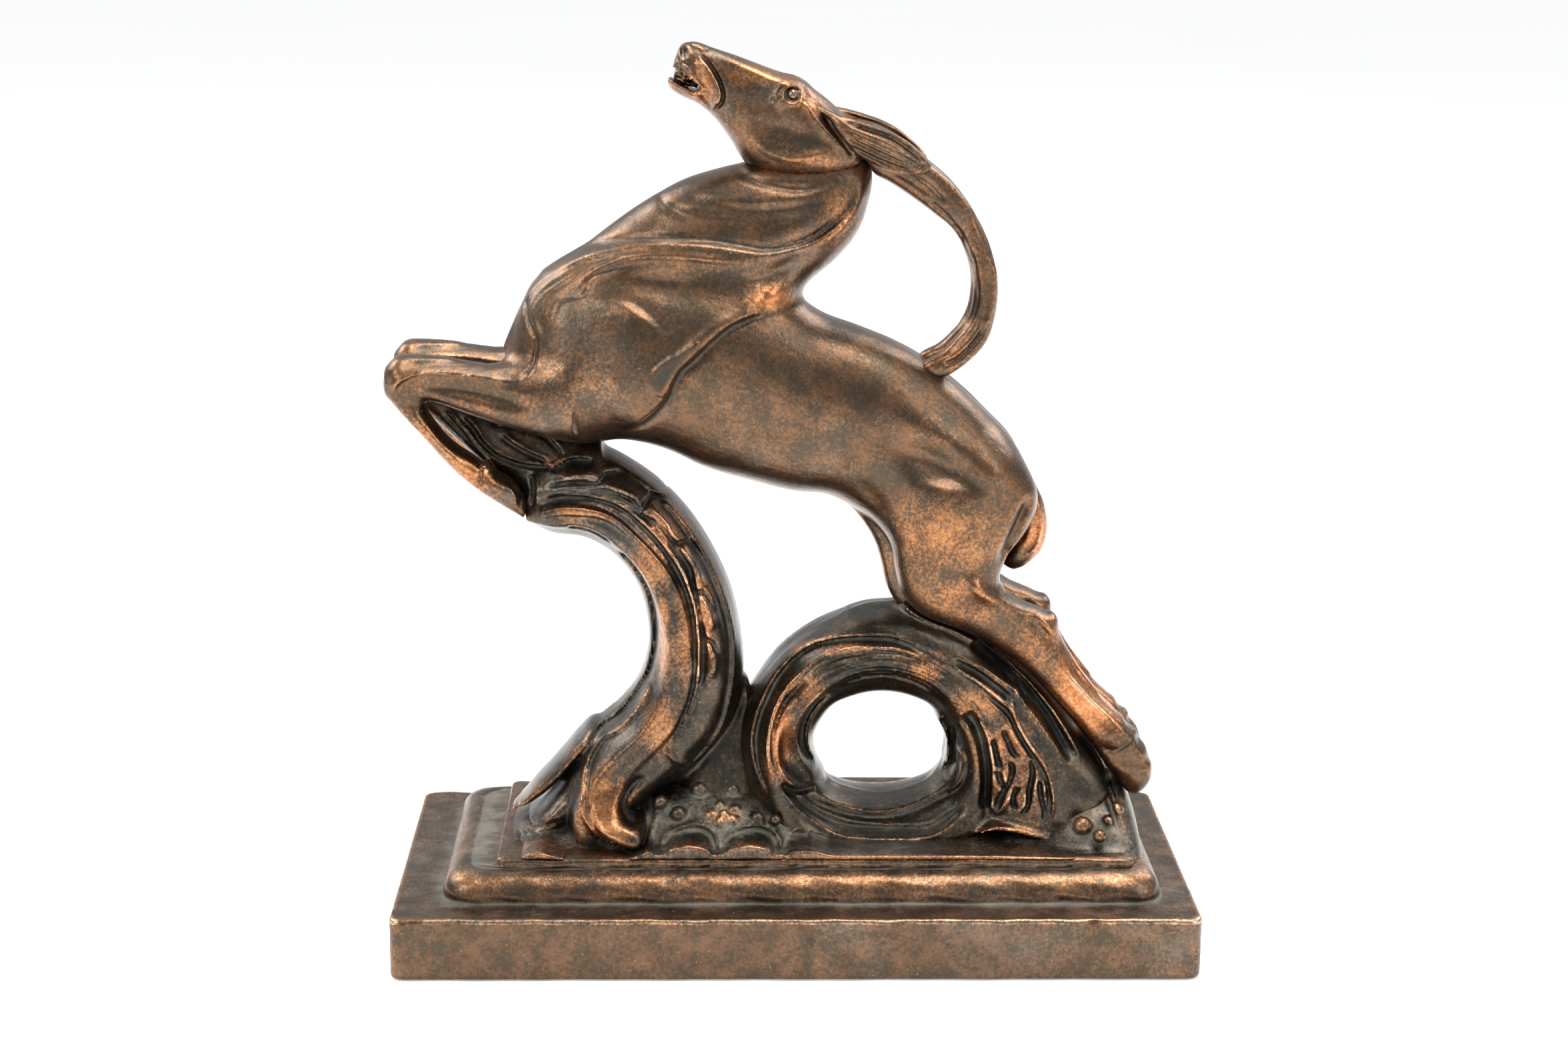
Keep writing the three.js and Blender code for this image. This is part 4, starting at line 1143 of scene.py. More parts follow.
def eyes():
    for side, name in ((-1, "near_eye"), (1, "far_eye")):
        low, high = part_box(name)
        centre = np.array((low + high) / 2) / MM
        radius = (high.x - low.x) / 2 / MM * 0.68
        points, quads, tris = ball(centre + [0.1, side * 0.15, -0.1], (radius,) * 3)
        piece(name + "_bead", points, [quads, tris], "eye_gloss", [name])


def ears():
    clay = Clay((2, 29), 13, (142, 162), 0.24)
    clay.add(loft(seen(EAR_SEEN, 8), oval(36, 2.2), 60))
    strands = [
        [(8.6, 156.3), (13, 155), (17.5, 153.4), (21.4, 150.8), (24.2, 148.4)],
        [(8, 155.4), (12.5, 153.6), (17, 151.6), (21, 149.3), (23.8, 147.9)],
        [(8.6, 154), (13, 151.8), (17.6, 149.7), (22.4, 147.7)],
        [(9.6, 152.2), (14, 150), (18, 148.4), (22, 147.1)],
    ]
    for strand in strands:
        clay.ridge(strand, -0.6, 0.42, 9, 0.15)
    rim = [
        (7.4, 157.6), (13, 155.9), (18, 154.2), (22, 151.4), (24.6, 148.8), (24.6, 147.4), (22.6, 146.8),
        (18.6, 147.2), (14, 148.6),
    ]
    clay.ridge(rim, 0.25, 0.4, 9, 0.05)
    clay.ridge([(9, 155.2), (14, 153.2), (19, 150.9), (23, 148.6)], 0.25, 0.4, 9, 0.2)
    clay.press(-8, 1.2)
    cast(clay, "near_ear_casting", "bronze", ["near_ear"], ("far_ear_casting", ["far_ear"]), EAR_RUB)


def horns():
    clay = Clay((8, 41), 9, (105, 160), 0.3)
    clay.add(loft(HORN, oval(36, 2.8), 120))
    clay.ridge([(20, 151), (25, 147.6), (28.5, 144.8), (31.8, 141), (34.6, 137)], 0.35, 0.5, 6, 0.15)
    clay.ridge(
        [(33.2, 137.4), (34, 131.6), (35.2, 126), (35.2, 121), (34.6, 117.6), (32.6, 114.8), (29.8, 112.4),
        (27, 111.2)],
        0.35, 0.5, 6, 0.12,
    )
    clay.ridge([(37.4, 130), (37.4, 124.4), (36.4, 119.6), (35.6, 118)], 0.4, 0.5, 5, 0.15)
    clay.ridge([(33.6, 139.6), (36, 134.6), (36.8, 130)], -0.4, 0.9, 6, 0.2)
    clay.ridge([(35.6, 117.4), (33.6, 114.4), (30.6, 111.6), (28, 110.4)], -0.6, 0.4, 6, 0.1)
    for line in (
        [(17, 147.6), (21, 145.6), (25.6, 142.2)],
        [(21, 147.4), (25, 144.8), (28.4, 141.2)],
        [(24.4, 142), (27.2, 139.8), (29.6, 137.4)],
        [(28.6, 138.4), (31, 135.4), (32.4, 131.4)],
        [(31, 134.4), (32.8, 130.6), (33.6, 126.4)],
        [(33.8, 127.6), (34, 123), (33, 119), (30.4, 115.6)],
        [(32.4, 121), (31.2, 117.6), (28.8, 115.2)],
    ):
        clay.ridge(line, -0.42, 0.45, 5.5, 0.25)
    clay.press(-3.2, 1.6)
    cast(clay, "near_horn_casting", "bronze", ["near_horn"], ("far_horn_casting", ["far_horn"]), HORN_RUB)


def tail():
    clay = Clay((37, 52), 6.5, (67, 90), 0.3)
    clay.add(loft(TAIL, oval(36, 2.1), 50))
    clay.ridge([(45.4, 85), (46.8, 80), (46.2, 75.4), (43.4, 72)], -0.4, 0.6, 4, 0.2)
    clay.ridge([(44, 84), (44.6, 79), (43.4, 75)], -0.5, 0.6, 4, 0.2)
    clay.ridge([(46.4, 84.6), (47.6, 79.6), (47, 75), (44.4, 72)], 0.3, 0.5, 4, 0.2)
    clay.press()
    cast(clay, "tail_casting", "bronze", ["tail"], rub=[(46.6, 78, 3, 6, 0.9)])


# ---- The scroll under the chest ------------------------------------------------------------------------


def front_scroll():
    clay = Clay((-76, -2), 22.5, (17, 108), 0.42)
    clay.add(loft(FRONT_SCROLL, two_faced(SCROLL_FACE, 44), 120))
    clay.add(loft(seen(LOW_LEAF, 10), oval(30, 2.2), 50), 0.6)
    clay.add(loft(seen(LEAF, 7), oval(30, 2.2), 60), 0.5)
    clay.add(loft(WEB, oval(30, 2.4), 40), 1.6)
    clay.add(loft(THROAT, oval(30, 2.4), 30), 1.6)
    clay.add(loft(SADDLE, oval(30, 2.4), 30), 1.2)
    clay.add(loft(seen(FOOT), oval(50, 3.4), 60), 0.8)
    clay.add(bar(BAND_IN, BAND_OUT, 14.4, 130), 0.5)
    scroll_band_marks(clay)
    scroll_leaf_marks(clay)
    scroll_back_marks(clay)
    scroll_foot_marks(clay)
    web_marks(clay)
    clay.press()
    cast(clay, "front_scroll_casting", "dark_bronze", ["front_scroll"], rub=SCROLL_RUB, dust=0.15)


def scroll_band_marks(clay):
    clay.ridge(BAND_MID, -0.35, 1.6, 14.4, 0.05)
    clay.ridge(BAND_IN, 0.2, 0.3, 14.4, 0.1)
    bead = [
        (-49, 82.6), (-44.7, 83.6), (-38.5, 83.2), (-33.4, 81.2), (-28.2, 76.6), (-24.4, 71.8),
        (-21.6, 66.6), (-19.8, 60.4),
    ]
    bead += [(-19.3, 54), (-19.3, 48.8), (-20.2, 43.6), (-22.2, 38.4), (-24.4, 34.6)]
    clay.ridge(bead, -0.9, 0.4, 13.5, 0.05)
    clay.ridge([(x + 0.75, z + 0.75) for x, z in bead], 0.45, 0.36, 13, 0.06)
    clay.ridge([(x + 1.4, z + 1.1) for x, z in bead], -0.6, 0.4, 12.6, 0.08)


def scroll_leaf_marks(clay):
    for groove in (
        [(-48, 85.6), (-43, 86.4), (-38.2, 86.4), (-36.6, 87.7), (-33.4, 87.6)],
        [(-47, 88), (-43.4, 89.8), (-39, 90)],
        [(-41, 85), (-36, 85), (-32, 83.4), (-29.8, 81.4), (-28, 83.2), (-24.4, 82)],
        [(-33, 82), (-29.6, 80.2), (-26, 78), (-23.4, 74.8), (-21, 74.4), (-18.4, 71.4)],
        [(-25.4, 77.8), (-22.6, 73.4), (-20.4, 69.6), (-19.4, 65.6), (-17.4, 64.6), (-15.4, 60.6)],
        [(-20.6, 69.6), (-19.4, 65), (-18.6, 60.6), (-17.7, 56.3), (-16, 55), (-14.8, 52.4)],
        [(-18.2, 59), (-17.5, 55.4), (-17.6, 51), (-17.8, 46.4)],
    ):
        clay.ridge(groove, -1.0, 0.42, 13, 0.1)
    for lobe in (
        [(-46.5, 87), (-42, 88), (-38, 88.2)],
        [(-36.6, 86), (-33, 85), (-29.4, 83.4)],
        [(-28.6, 82.4), (-25.4, 79.6), (-22.6, 75.8)],
        [(-28, 79.2), (-25.4, 76.8), (-23.6, 74.2)],
        [(-22, 74.2), (-19.4, 70.6), (-17.6, 66)],
        [(-23.4, 73.2), (-21.4, 69.8), (-20, 66)],
        [(-18, 65.4), (-16.4, 61), (-16, 57)],
        [(-19.4, 64.6), (-18.6, 61), (-18.4, 57.6)],
        [(-16.2, 55), (-15.6, 51), (-16.2, 47.6)],
        [(-18.6, 55), (-18.8, 51), (-19, 47)],
    ):
        clay.ridge(lobe, 1.0, 0.8, 13, 0.25)


def scroll_back_marks(clay):
    rim = [
        (-38, 92.4), (-30, 87.6), (-24.4, 82.6), (-19.6, 76.6), (-15.9, 70), (-13, 62.5), (-11.7, 55),
        (-12, 47.5),
    ]
    rim += [(-13.6, 40), (-16.7, 34.4), (-21.3, 29.8), (-27, 26.6)]
    clay.ridge(rim, 0.3, 0.4, 8, 0.15)
    clay.ridge([(x - 0.9, z - 0.6) for x, z in rim], -0.5, 0.5, 9, 0.15)
    clay.ridge([(-25, 34), (-23, 31.6), (-20, 30.4)], 0.6, 0.5, 12, 0.1)
    wall = [
        (-34, 74.6), (-30.6, 70.4), (-28, 65), (-27, 59), (-27.2, 53.6), (-28.4, 48.4), (-31, 43.4),
        (-34.6, 39.2), (-40.4, 34.8),
    ]
    clay.ridge(wall, -0.9, 0.45, 8, 0.06)
    clay.ridge([(-28, 46), (-30.4, 42), (-33.6, 38), (-37.6, 34.6)], 0.5, 0.5, 12, 0.1)
    clay.ridge([(-44, 79.4), (-39, 78.6), (-35, 76)], -0.5, 0.4, 8, 0.1)


def scroll_foot_marks(clay):
    clay.ridge([(-29.4, 26.4), (-32, 24), (-33.4, 21), (-32.6, 18.6), (-30.4, 17.4)], -0.8, 0.6, 18, 0.1)
    rim = [
        (-34.6, 36), (-38.4, 32.6), (-41, 28.6), (-42, 24), (-41.8, 20), (-40, 16.4), (-36.8, 14),
        (-33, 13.4),
    ]
    clay.ridge([(x + 0.3, z + 0.2) for x, z in rim], 0.45, 0.4, 17, 0.1)
    clay.ridge([(x + 1.5, z + 0.7) for x, z in rim], -0.45, 0.5, 17, 0.1)
    clay.bump((-36.4, 16.4), (3, 1.4), 0.5, 0, 19)
    undercut = [(-55, 19.6), (-51, 21), (-48.6, 23), (-46, 26), (-43.8, 29.2), (-40.6, 32.4)]
    clay.ridge([(x, z - 0.6) for x, z in undercut], -0.9, 0.6, 9, 0.05)
    clay.ridge([(x, z + 0.9) for x, z in undercut], 0.3, 0.5, 7, 0.1)
    clay.ridge([(-55, 14.5), (-50, 17), (-46, 18.5)], -0.7, 0.6, 12, 0.1)
    clay.ridge([(-28.6, 45.6), (-31, 41), (-34.6, 37), (-37.2, 36.2)], 0.35, 0.45, 11, 0.1)


def web_marks(clay):
    for line in (
        [(-64.5, 100), (-62, 97.6), (-60, 94.6), (-57, 92.2), (-52, 90.6), (-46, 90.6)],
        [(-67.4, 101), (-64, 97), (-61, 93.4), (-58.6, 91)],
        [(-58.4, 98.4), (-54, 98.8), (-50, 97.6), (-47, 95.2), (-44.6, 92.6)],
        [(-56.6, 96.4), (-54.4, 94.6), (-51, 92.8), (-47.4, 91.4)],
        [(-50.4, 89), (-50, 86), (-50.6, 83.6)],
    ):
        clay.ridge(line, -0.9, 0.4, 4, 0.12)
        clay.ridge([(x + 0.7, z + 0.6) for x, z in line], 0.5, 0.45, 4, 0.15)


# ---- The ring and the acanthus under the hind legs ---------------------------------------------------------
HOLE, HOLE_RADII = (17, 35.3), (13, 11)


def hole_arc(scale, start, stop, count=11):
    """An arc round the ring's hole, scaled from its edge."""
    return arc(HOLE, (HOLE_RADII[0] * scale, HOLE_RADII[1] * scale), start, stop, count)


def rear_scroll():
    clay = Clay((-14, 66), 16, (16, 68), 0.415)
    clay.add(loft(RING, two_faced(RING_FACE, 40), 150, closed=True))
    clay.add(loft(WAVE, oval(40, 3), 60), 1.5)
    clay.add(bar(LOBE_LOW, LOBE_HIGH, 15.4, 40, 2.0), 1.6)
    ring_marks(clay)
    channel_marks(clay)
    acanthus_marks(clay)
    clay.press()
    cast(clay, "rear_scroll_casting", "dark_bronze", ["rear_scroll"], rub=RING_RUB, dust=0.12)


def ring_marks(clay):
    bead = [
        (-5, 24), (-7.2, 28.5), (-8.1, 33), (-7.9, 37), (-6.3, 42), (-3.1, 47.6), (1.9, 52.3), (8.1, 55),
        (15, 56), (20, 55.6),
    ]
    bead += [(25, 53.8), (29.4, 51)]
    second = [
        (-4, 27), (-5, 32.5), (-4.7, 37.5), (-3.1, 42.5), (0, 46.9), (4.4, 50.8), (8.8, 53), (13.1, 54),
        (20, 53.8),
    ]
    second += [(24.6, 52), (29.8, 49.2)]
    clay.ridge(bead, 0.55, 0.5, 14, 0.12)
    clay.ridge([(x + 0.9, z - 0.7) for x, z in bead], -0.6, 0.5, 14, 0.08)
    clay.ridge(second, 0.6, 0.4, 14, 0.12)
    clay.ridge([(-3.2, 28.6), (-3.9, 33), (-3.4, 38), (-1.4, 42.6), (2.4, 47)], -0.7, 0.4, 14, 0.1)
    clay.ridge([(0.6, 26.4), (-1.6, 30), (-2.2, 35), (-1.2, 40), (1.6, 44.6), (6, 48.6)], -1.1, 1.6, 14, 0.25)
    lip = [(4.4, 24.4), (1.6, 24.8), (-0.6, 26.6), (-3, 30)]
    clay.ridge(lip, 0.7, 0.5, 14, 0.1)
    clay.ridge([(4.6, 23.6), (0.6, 23.8), (-2.4, 26)], -1.2, 0.5, 14, 0.1)
    for scale, top, depth in ((1.28, 0.6, 13), (1.17, -0.8, 12.4), (1.1, 0.5, 12)):
        clay.ridge(hole_arc(scale, 125, 215), top, 0.5, depth, 0.15)
    for i in range(6):
        clay.ridge(hole_arc(1.18 + 0.09 * i, 44, 122), -0.6, 0.38, 13, 0.12)
    clay.ridge([(4, 57.8), (9, 58.8), (12, 58.4)], 0.6, 0.5, 12, 0.2)
    clay.ridge(
        [(-9.4, 45), (-5, 51), (1, 55.6), (8, 58.6), (16, 60.2), (23, 59.4), (30, 56.4)],
        -0.7, 0.9, 11, 0.15,
    )
    for scale, height in ((1.14, -0.6), (1.24, 0.4), (1.36, -0.6), (1.5, 0.45), (1.62, -0.5)):
        clay.ridge(hole_arc(scale, 222, 328), height, 0.5, 14, 0.15)
    outer = [
        (-2, 24), (0, 21.8), (4, 18), (9, 15.4), (15, 14.6), (22, 14.5), (27, 14.9), (31, 16.8), (34, 19.4),
    ]
    clay.ridge(outer, 0.55, 0.5, 15, 0.12)
    clay.ridge([(x + 0.2, z + 1.1) for x, z in outer], -0.7, 0.5, 15, 0.1)
    clay.ridge([(29.6, 39.4), (29, 38), (30.4, 35), (31, 31), (30.6, 27.4)], 0.7, 0.5, 12, 0.1)
    clay.ridge([(33, 32.6), (33.8, 30), (33.2, 26), (31, 22.6)], 0.7, 0.5, 13, 0.1)
    clay.ridge([(31.4, 37), (32, 33), (32, 29), (30.8, 25)], -0.8, 0.5, 13, 0.1)


def channel_marks(clay):
    clay.ridge([(35, 54.4), (40, 50.4), (45, 45.8), (49.6, 40.4), (53, 35), (55.4, 30.6)], -2.0, 1.1, 13, 0.1)
    clay.ridge(
        [(28, 58.6), (34, 55.8), (40, 51.8), (46, 46.4), (50.8, 41), (54.6, 35.4), (57, 31)],
        0.5, 0.45, 12.5, 0.1,
    )
    clay.ridge([(33, 57.6), (40, 53.4), (47, 47.4), (53, 40.4), (57.4, 33)], -1.3, 0.8, 12, 0.15)
    clay.ridge([(20, 62.6), (22.4, 61), (26, 59.4), (31, 57.4), (36, 54.6)], 0.6, 0.4, 11, 0.1)
    upper = [
        (31.4, 52.6), (36, 50.2), (40, 47.6), (43.4, 45.2), (46, 41.6), (49, 37.6), (52, 33.4), (54.4, 30),
    ]
    clay.ridge(upper, 0.55, 0.5, 13.5, 0.08)
    clay.bump((44.2, 45.4), (0.8, 1.3), 1.1, 10, 13.5)
    clay.ridge([(31, 51.4), (36, 48.6), (40, 45.6), (43.4, 43)], -1.1, 0.5, 13.5, 0.1)


def acanthus_marks(clay):
    edge = [
        (31.2, 50.4), (33.4, 48.8), (36.6, 46.8), (41, 43.2), (43, 41.2), (44.6, 38), (46.8, 34.4),
        (49.2, 31), (50.8, 27),
    ]
    edge += [(51.4, 22.5), (50.8, 18.4)]
    clay.ridge(edge, 0.7, 0.42, 13.5, 0.06)
    clay.ridge([(x - 0.5, z - 1.1) for x, z in edge[2:]], -0.9, 0.4, 13.5, 0.1)
    clay.ridge([(43.6, 39.4), (45.4, 35.8), (47.8, 32.2), (49.4, 28.4), (50, 23.6)], 0.6, 0.35, 13.5, 0.1)
    clay.bump((42.9, 42.6), (0.7, 1.3), 1.2, 10, 13.5)
    for i in range(6):
        step = 1.25 * i
        clay.ridge(
            [(28.4 + step * 0.5, 48.4 - step), (32 + step * 0.6, 46 - step),
            (36.4 + step * 0.5, 41.6 - step * 0.5)],
            -0.35, 0.24, 13, 0.15,
        )
    clay.ridge([(33.6, 41.4), (36.2, 37.4), (37.8, 31.6), (38.4, 26), (38, 20.6)], -2.4, 1.2, 12, 0.08)
    clay.ridge([(36.4, 40), (38.4, 35), (39.4, 29.4), (39.6, 24), (39.4, 19.6)], 0.9, 0.4, 13.5, 0.08)
    for slit in (
        [(39.3, 35.2), (39.8, 33.4), (40.4, 31), (41, 29.2)],
        [(41.2, 37.2), (41.8, 35.8), (42.6, 34.2), (43.4, 32.4), (44.6, 31.4)],
        [(42.8, 31), (43.4, 29), (42.8, 26.4), (41.4, 23.6), (40.4, 20.4)],
        [(46.8, 31.4), (47.4, 28.4), (46.8, 25), (46.6, 22), (45.4, 19.6)],
        [(40.4, 28.6), (41.2, 26.4), (42.2, 24.8)],
        [(48.6, 27), (48.9, 24), (49.8, 20.6), (50, 18.6)],
        [(44.6, 25.6), (43.6, 23.4), (44, 20.6)],
    ):
        clay.ridge(slit, -1.3, 0.42, 13.5, 0.1)
    for vein in (
        [(42.4, 30.4), (41.6, 28.2), (42.4, 25.8)],
        [(45.2, 30.2), (45.4, 27.6), (44.8, 25)],
        [(43.6, 24.8), (42, 21.8), (40, 19.2)],
        [(45.4, 25.4), (46, 22.6), (45, 19.6)],
        [(47.8, 29.6), (48.2, 25.6), (49.6, 21), (50.4, 18.2)],
        [(41.8, 39.6), (44, 35.4), (46.4, 31.8)],
    ):
        clay.ridge(vein, 0.45, 0.5, 13.5, 0.15)


# ---- Plinth, ground and felt -------------------------------------------------------------------------
PLINTH_PROFILE_STEPS = 13
PLINTH_RING = 900
# The block's lower rim comes down past the felt's edge; the CAD block ends higher, on top of the felt.
RIM_LOW = 0.3
BLOCK_CORNER = 2.4
BLOCK_TOP = 12.1
PLATFORM_TOP = 19.2
PLATFORM_CORNER = 1.6


def rounded(x0, x1, y1, corner, z, count=PLINTH_RING):
    """A ring of points round a rectangle with round corners, evenly spaced, at height z."""
    corner = max(corner, 0.05)
    t = np.linspace(0, np.pi / 2, 9)
    centres = [
        (x1 - corner, y1 - corner), (x0 + corner, y1 - corner), (x0 + corner, corner - y1),
        (x1 - corner, corner - y1),
    ]
    quarters = []
    for q, (cx, cy) in enumerate(centres):
        turn = t + q * np.pi / 2
        quarters.append(np.stack([cx + corner * np.cos(turn), cy + corner * np.sin(turn)], -1))
    outline = np.concatenate(quarters)
    closed = np.concatenate([outline, outline[:1]])
    walked = np.concatenate([[0], np.cumsum(np.linalg.norm(np.diff(closed, axis=0), axis=1))])
    at = np.arange(count) * walked[-1] / count
    return np.stack(
        [np.interp(at, walked, closed[:, 0]), np.interp(at, walked, closed[:, 1]), np.full(count, z)], -1,
    )


def plinth():
    low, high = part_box("plinth")
    x0, x1, y1 = low.x / MM, high.x / MM, high.y / MM
    step, top = (x0 + 9, x1 - 6.4, y1 - 8.2), (x0 + 19.2, x1 - 11.4, y1 - 13.4)
    rows, edge = [], []

    def row(part, inset, corner, z, mark=0.0):
        rows.append(rounded(part[0] + inset, part[1] - inset, part[2] - inset, corner, z))
        edge.append(mark)

    base = (x0, x1, y1)
    for z, inset in ((RIM_LOW, 0.35), (0.5, 0.08), (1.2, 0), (3, 0), (5, 0), (7, 0), (9, 0), (11, 0)):
        row(base, inset, BLOCK_CORNER, z)
    # The block's rounded top arris: its edge mark gives worn copper and a painted highlight line.
    for a in np.linspace(0, np.pi / 2, 6):
        row(base, 0.6 * (1 - np.cos(a)), BLOCK_CORNER, 11.4 + 0.7 * np.sin(a), 0.6)
    for inset in (1.6, 3, 4.4, 5.6):
        row(base, inset, BLOCK_CORNER + inset * 0.4, BLOCK_TOP)
    # The ledge's inner corner: its negative edge marks darken it, partly soiling and partly painted shade.
    row(step, -0.5, 6.4, 12.15, -0.5)
    row(step, -0.1, 6.1, 12.3, -0.5)
    row(step, 0, 6, 12.8)
    # The torus moulding: shine is a painted highlight band along its upper face.
    for a in np.linspace(0, np.pi / 2, PLINTH_PROFILE_STEPS):
        shine = 0.3 * math.exp(-(((a - 0.9) / 0.4) ** 2))
        row(step, 4.6 * (1 - np.cos(a)), 6 - 2 * a / np.pi, 13.0 + 4.4 * np.sin(a), shine)
    # The fillet under the platform: its negative edge marks darken it, partly soiling and partly painted
    # shade.
    row(step, 5.2, 4.6, 17.1, -0.6)
    row(step, 5.3, 4.6, 17.3, -0.6)
    for z in (17.6, 18.2, 18.7):
        row(top, 0, PLATFORM_CORNER, z)
    row(top, 0.4, PLATFORM_CORNER, 19.1, 0.1)
    row(top, 3, PLATFORM_CORNER, PLATFORM_TOP)
    for inset in (8, 14, 20):
        row(top, inset, PLATFORM_CORNER, PLATFORM_TOP)
    rings = np.array(rows)
    marks = np.repeat(np.array(edge)[:, None], PLINTH_RING, 1)
    worn_by_hand(rings, marks, x1)
    points, quads, tris = skin(rings)
    marks = np.concatenate([marks.ravel(), [0, 0]])
    height = points[:, 2]
    rub = np.clip((height - 11.8) / 0.4, 0, 1) * 0.14 + np.clip((height - 12.6) / 2.4, 0, 1) * 0.1
    low_ledge = np.exp(-(((height - 12.2) / 0.6) ** 2))
    high_ledge = np.exp(-(((height - 17.5) / 0.9) ** 2))
    dust = 0.15 + 0.4 * low_ledge + 0.75 * high_ledge
    looks = {"edge": marks, "form": marks * 0.3, "rub": rub, "dust": dust}
    piece("plinth_casting", points, [quads, tris], "bronze", ["plinth"], looks)


def worn_by_hand(rings, marks, x1):
    """Slow waves and small dents in the plinth, and the mould's seam across its right end."""
    x, y, z = rings[..., 0], rings[..., 1], rings[..., 2]
    side = np.where(np.abs(y) > 20, np.sign(y), 0)
    y += side * 0.07 * (np.sin(x * 0.21 + z) + np.sin(x * 0.53 + 2.1 * z + 1))
    z += np.where(z > 3, 0.05 * np.sin(x * 0.34 + y * 0.2) + 0.04 * np.sin(x * 0.9 + 2), 0)
    for _ in range(46):
        spot = rings[rng.integers(6, len(rings) - 8), rng.integers(rings.shape[1])].copy()
        gap = np.linalg.norm((rings - spot) / [1.3, 1.3, 0.8], axis=-1)
        dent = np.exp(-((gap / 0.7) ** 2))
        rings[..., 1] -= 0.22 * dent * np.sign(spot[1])
        # A dent also lowers the edge mark, so the bronze finish darkens it as it darkens a hollow.
        marks -= 0.5 * dent
    seam = np.exp(-(((x - (x1 - 7 + 0.15 * z)) / 0.5) ** 2)) * (z < 18) * (z > 1.8)
    rings[..., 1] += 0.22 * seam * np.sign(y) * (np.abs(y) > 18)
    rings[..., 2] += 0.18 * seam * (z > 11.8)
    marks += 0.15 * seam
    # The block's upright corners get a raised edge mark: worn copper, and the painted highlight that sharp
    # edges get.
    corner = np.exp(-(((x1 - np.abs(x)) / 1.3) ** 2) - (((np.abs(y).max() - np.abs(y)) / 1.3) ** 2))
    marks += 0.7 * corner * (z < 12.5)


FLOWER = (-13.6, 19.8)  # the middle of the five-petalled flower on the front slope


def on_slope(x, z):
    """Where a point seen on the front slope of the ground lies: the slope climbs away from the viewer."""
    depth = max(17.4 - (z - 16.9) * 0.95, 4)
    (px, pz), = lift([(x, z)], depth)
    return np.array([px, -depth, pz])


def add_pair(clay, place, radii, blend, turn=0.0):
    """An ellipsoid at place and its twin on the back."""
    for side in (1, -1):
        clay.add(ball(place * [1, side, 1], radii, turn), blend)


def ground():
    clay = Clay((-60, 69), 24.4, (17, 32), 0.42)
    rim = [[x, z, x, 10.05, 23.6] for x, z in PLATE_EDGE]
    sheet = seen(rim, 23.3)
    for station in sheet:
        station[3] = 18.9
    clay.add(loft(sheet, oval(90, 12), 140))
    hill = [[x, z, x, 2 * HILL_AXIS - z, half] for x, z, half in HILLS]
    clay.add(loft(hill, oval(70, 2.2), 90), 2.2)
    berries = [
        (55.6, 25, 2), (58.5, 23.2, 1.5), (64.4, 21, 1.2), (57.5, 17.6, 1.9), (61, 15.4, 1.4),
        (62.6, 18.6, 1.1),
    ]
    berries += [(-18.4, 25, 1.8), (-22.5, 20, 1.7), (-6.9, 19.2, 1.4), (-3.4, 18.8, 1.2), (-11.8, 25, 1.5)]
    berries += [(-26, 22.6, 1.5)]
    for x, z, radius in berries:
        add_pair(clay, on_slope(x, z), (radius, radius, radius * 0.95), 0.35)
    for k in range(5):
        turn = 2 * math.pi * k / 5 + 0.6
        petal = on_slope(FLOWER[0] + 2.3 * math.cos(turn), FLOWER[1] + 1.7 * math.sin(turn))
        add_pair(clay, petal, (1.5, 1.3, 1.1), 0.3, turn)
    add_pair(clay, on_slope(*FLOWER) + [0, -0.6, 0.4], (0.9, 0.9, 0.9), 0.2)
    ground_marks(clay)
    clay.press()
    cast(clay, "ground_relief_casting", "dark_bronze", ["ground_relief"], rub=GROUND_RUB, dust=1.0)


def ground_marks(clay):
    for line in (
        [(-55, 13), (-51, 15), (-46.6, 16.4)],
        [(-56, 16), (-51, 19), (-47, 21.6), (-44, 23)],
        [(-30, 14), (-28.6, 17), (-27.6, 21)],
        [(-26, 13), (-24, 16), (-20, 17.4), (-16.6, 16.6), (-15, 13.4)],
        [(-14.6, 13.4), (-12, 16.4), (-8, 17.2), (-4.4, 16), (-2.8, 13.4)],
        [(-2.4, 13.6), (0, 15.6), (3.6, 15.6)],
        [(58, 31), (61, 27), (63, 22), (65, 16)],
        [(60.6, 29), (63.4, 26), (65.6, 21)],
        [(53.4, 30), (53, 26), (54, 21), (53, 17)],
    ):
        clay.ridge(line, -0.7, 0.5, 16, 0.15)
        clay.ridge([(x + 0.8, z + 0.7) for x, z in line], 0.45, 0.6, 16, 0.2)
    clay.bump((53.6, 23.4), (1.2, 2.4), -1.2, 0, 14)


def felt_pad():
    low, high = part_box("felt_pad")
    rows = []
    for z, inset in ((0, 0.5), (0.1, 0.1), (0.6, 0), (1.1, 0.1), (1.2, 0.5)):
        ring = rounded(low.x / MM + inset, high.x / MM - inset, high.y / MM - inset, 1.4, z, 600)
        ring[:, :2] *= 1 + 0.0012 * rng.standard_normal(600)[:, None]
        rows.append(ring)
    points, quads, tris = skin(np.array(rows))
    piece("felt_sheet", points, [quads, tris], "felt", ["felt_pad"])


def main():
    figure()
    head()
    eyes()
    ears()
    horns()
    tail()
    front_scroll()
    rear_scroll()
    plinth()
    ground()
    felt_pad()
    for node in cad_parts.values():
        if not node.hide_render:
            node.data.materials.clear()
            node.data.materials.append(MATERIALS["steel"])


main()

# ---- Floor and light ------------------------------------------------------------------------------------


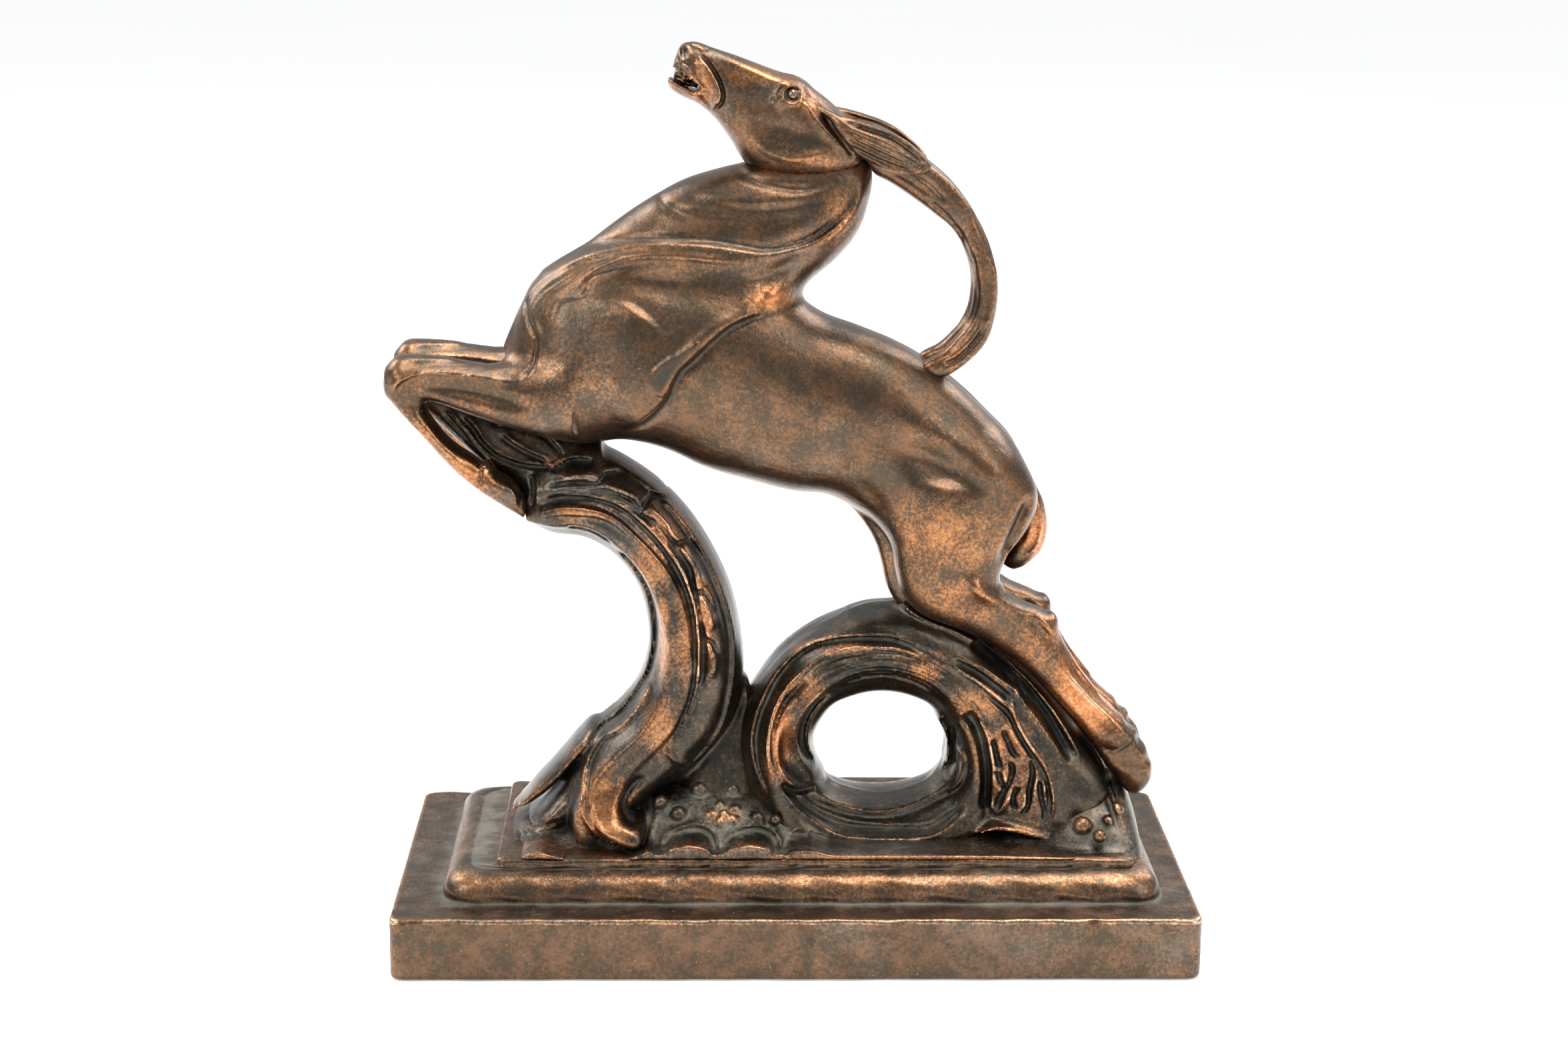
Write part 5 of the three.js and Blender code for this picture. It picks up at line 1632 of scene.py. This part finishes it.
def stage():
    mesh = bpy.data.meshes.new("floor")
    reach = 14.0
    mesh.from_pydata(
        [(-reach, -reach, 0), (reach, -reach, 0), (reach, reach, 0), (-reach, reach, 0)], [],
        [(0, 1, 2, 3)],
    )
    floor = bpy.data.objects.new("floor", mesh)
    bpy.context.scene.collection.objects.link(floor)
    n = Nodes("floor")
    tone = n.mix(n.noise(3, 2), (0.86, 0.86, 0.865), (0.9, 0.9, 0.9))
    n.set(Base_Color=tone, Roughness=0.8, Emission_Color=(1, 1, 1, 1), Emission_Strength=0.3)
    mesh.materials.append(MATERIALS["floor"])


def area(name, place, target, size, power, tint=(1, 1, 1)):
    data = bpy.data.lights.new(name, "AREA")
    data.shape = "RECTANGLE"
    data.size, data.size_y = size
    data.energy = power
    data.color = tint
    lamp = bpy.data.objects.new(name, data)
    lamp.location = place
    lamp.rotation_euler = (Vector(target) - Vector(place)).to_track_quat("-Z", "Y").to_euler()
    bpy.context.scene.collection.objects.link(lamp)


def lights():
    world = bpy.data.worlds.new("world")
    world.use_nodes = True
    nodes, links = world.node_tree.nodes, world.node_tree.links
    place = nodes.new("ShaderNodeTexCoord")
    apart = nodes.new("ShaderNodeSeparateXYZ")
    links.new(place.outputs["Generated"], apart.inputs[0])
    height = nodes.new("ShaderNodeMapRange")
    height.inputs["From Min"].default_value = -0.1
    height.inputs["From Max"].default_value = 0.9
    height.inputs["To Min"].default_value = WORLD_LOW
    height.inputs["To Max"].default_value = WORLD_HIGH
    links.new(apart.outputs["Z"], height.inputs["Value"])
    sky = nodes["Background"]
    sky.inputs["Color"].default_value = (0.98, 0.99, 1, 1)
    haze = nodes.new("ShaderNodeMapRange")
    haze.inputs["From Min"].default_value = 0.02
    haze.inputs["From Max"].default_value = 0.16
    haze.inputs["To Min"].default_value = HAZE
    haze.inputs["To Max"].default_value = 0
    links.new(apart.outputs["Z"], haze.inputs["Value"])
    both = nodes.new("ShaderNodeMath")
    both.operation = "ADD"
    links.new(height.outputs[0], both.inputs[0])
    links.new(haze.outputs[0], both.inputs[1])
    links.new(both.outputs[0], sky.inputs["Strength"])
    bpy.context.scene.world = world
    aim = (0, 0, 0.09)
    area("top", (0.1, 0.05, 0.8), aim, (0.8, 0.35), 7)
    area("left", (-0.6, -0.4, 0.6), aim, (0.35, 0.5), 3)
    area("right", (0.65, -0.35, 0.5), aim, (0.35, 0.5), 2.2)
    area("back_left", (-0.55, 0.4, 0.55), aim, (0.4, 0.4), 3.6)
    area("back_right", (0.5, 0.5, 0.55), aim, (0.4, 0.4), 2.6)


stage()
lights()
bpy.context.scene.view_settings.view_transform = "Standard"
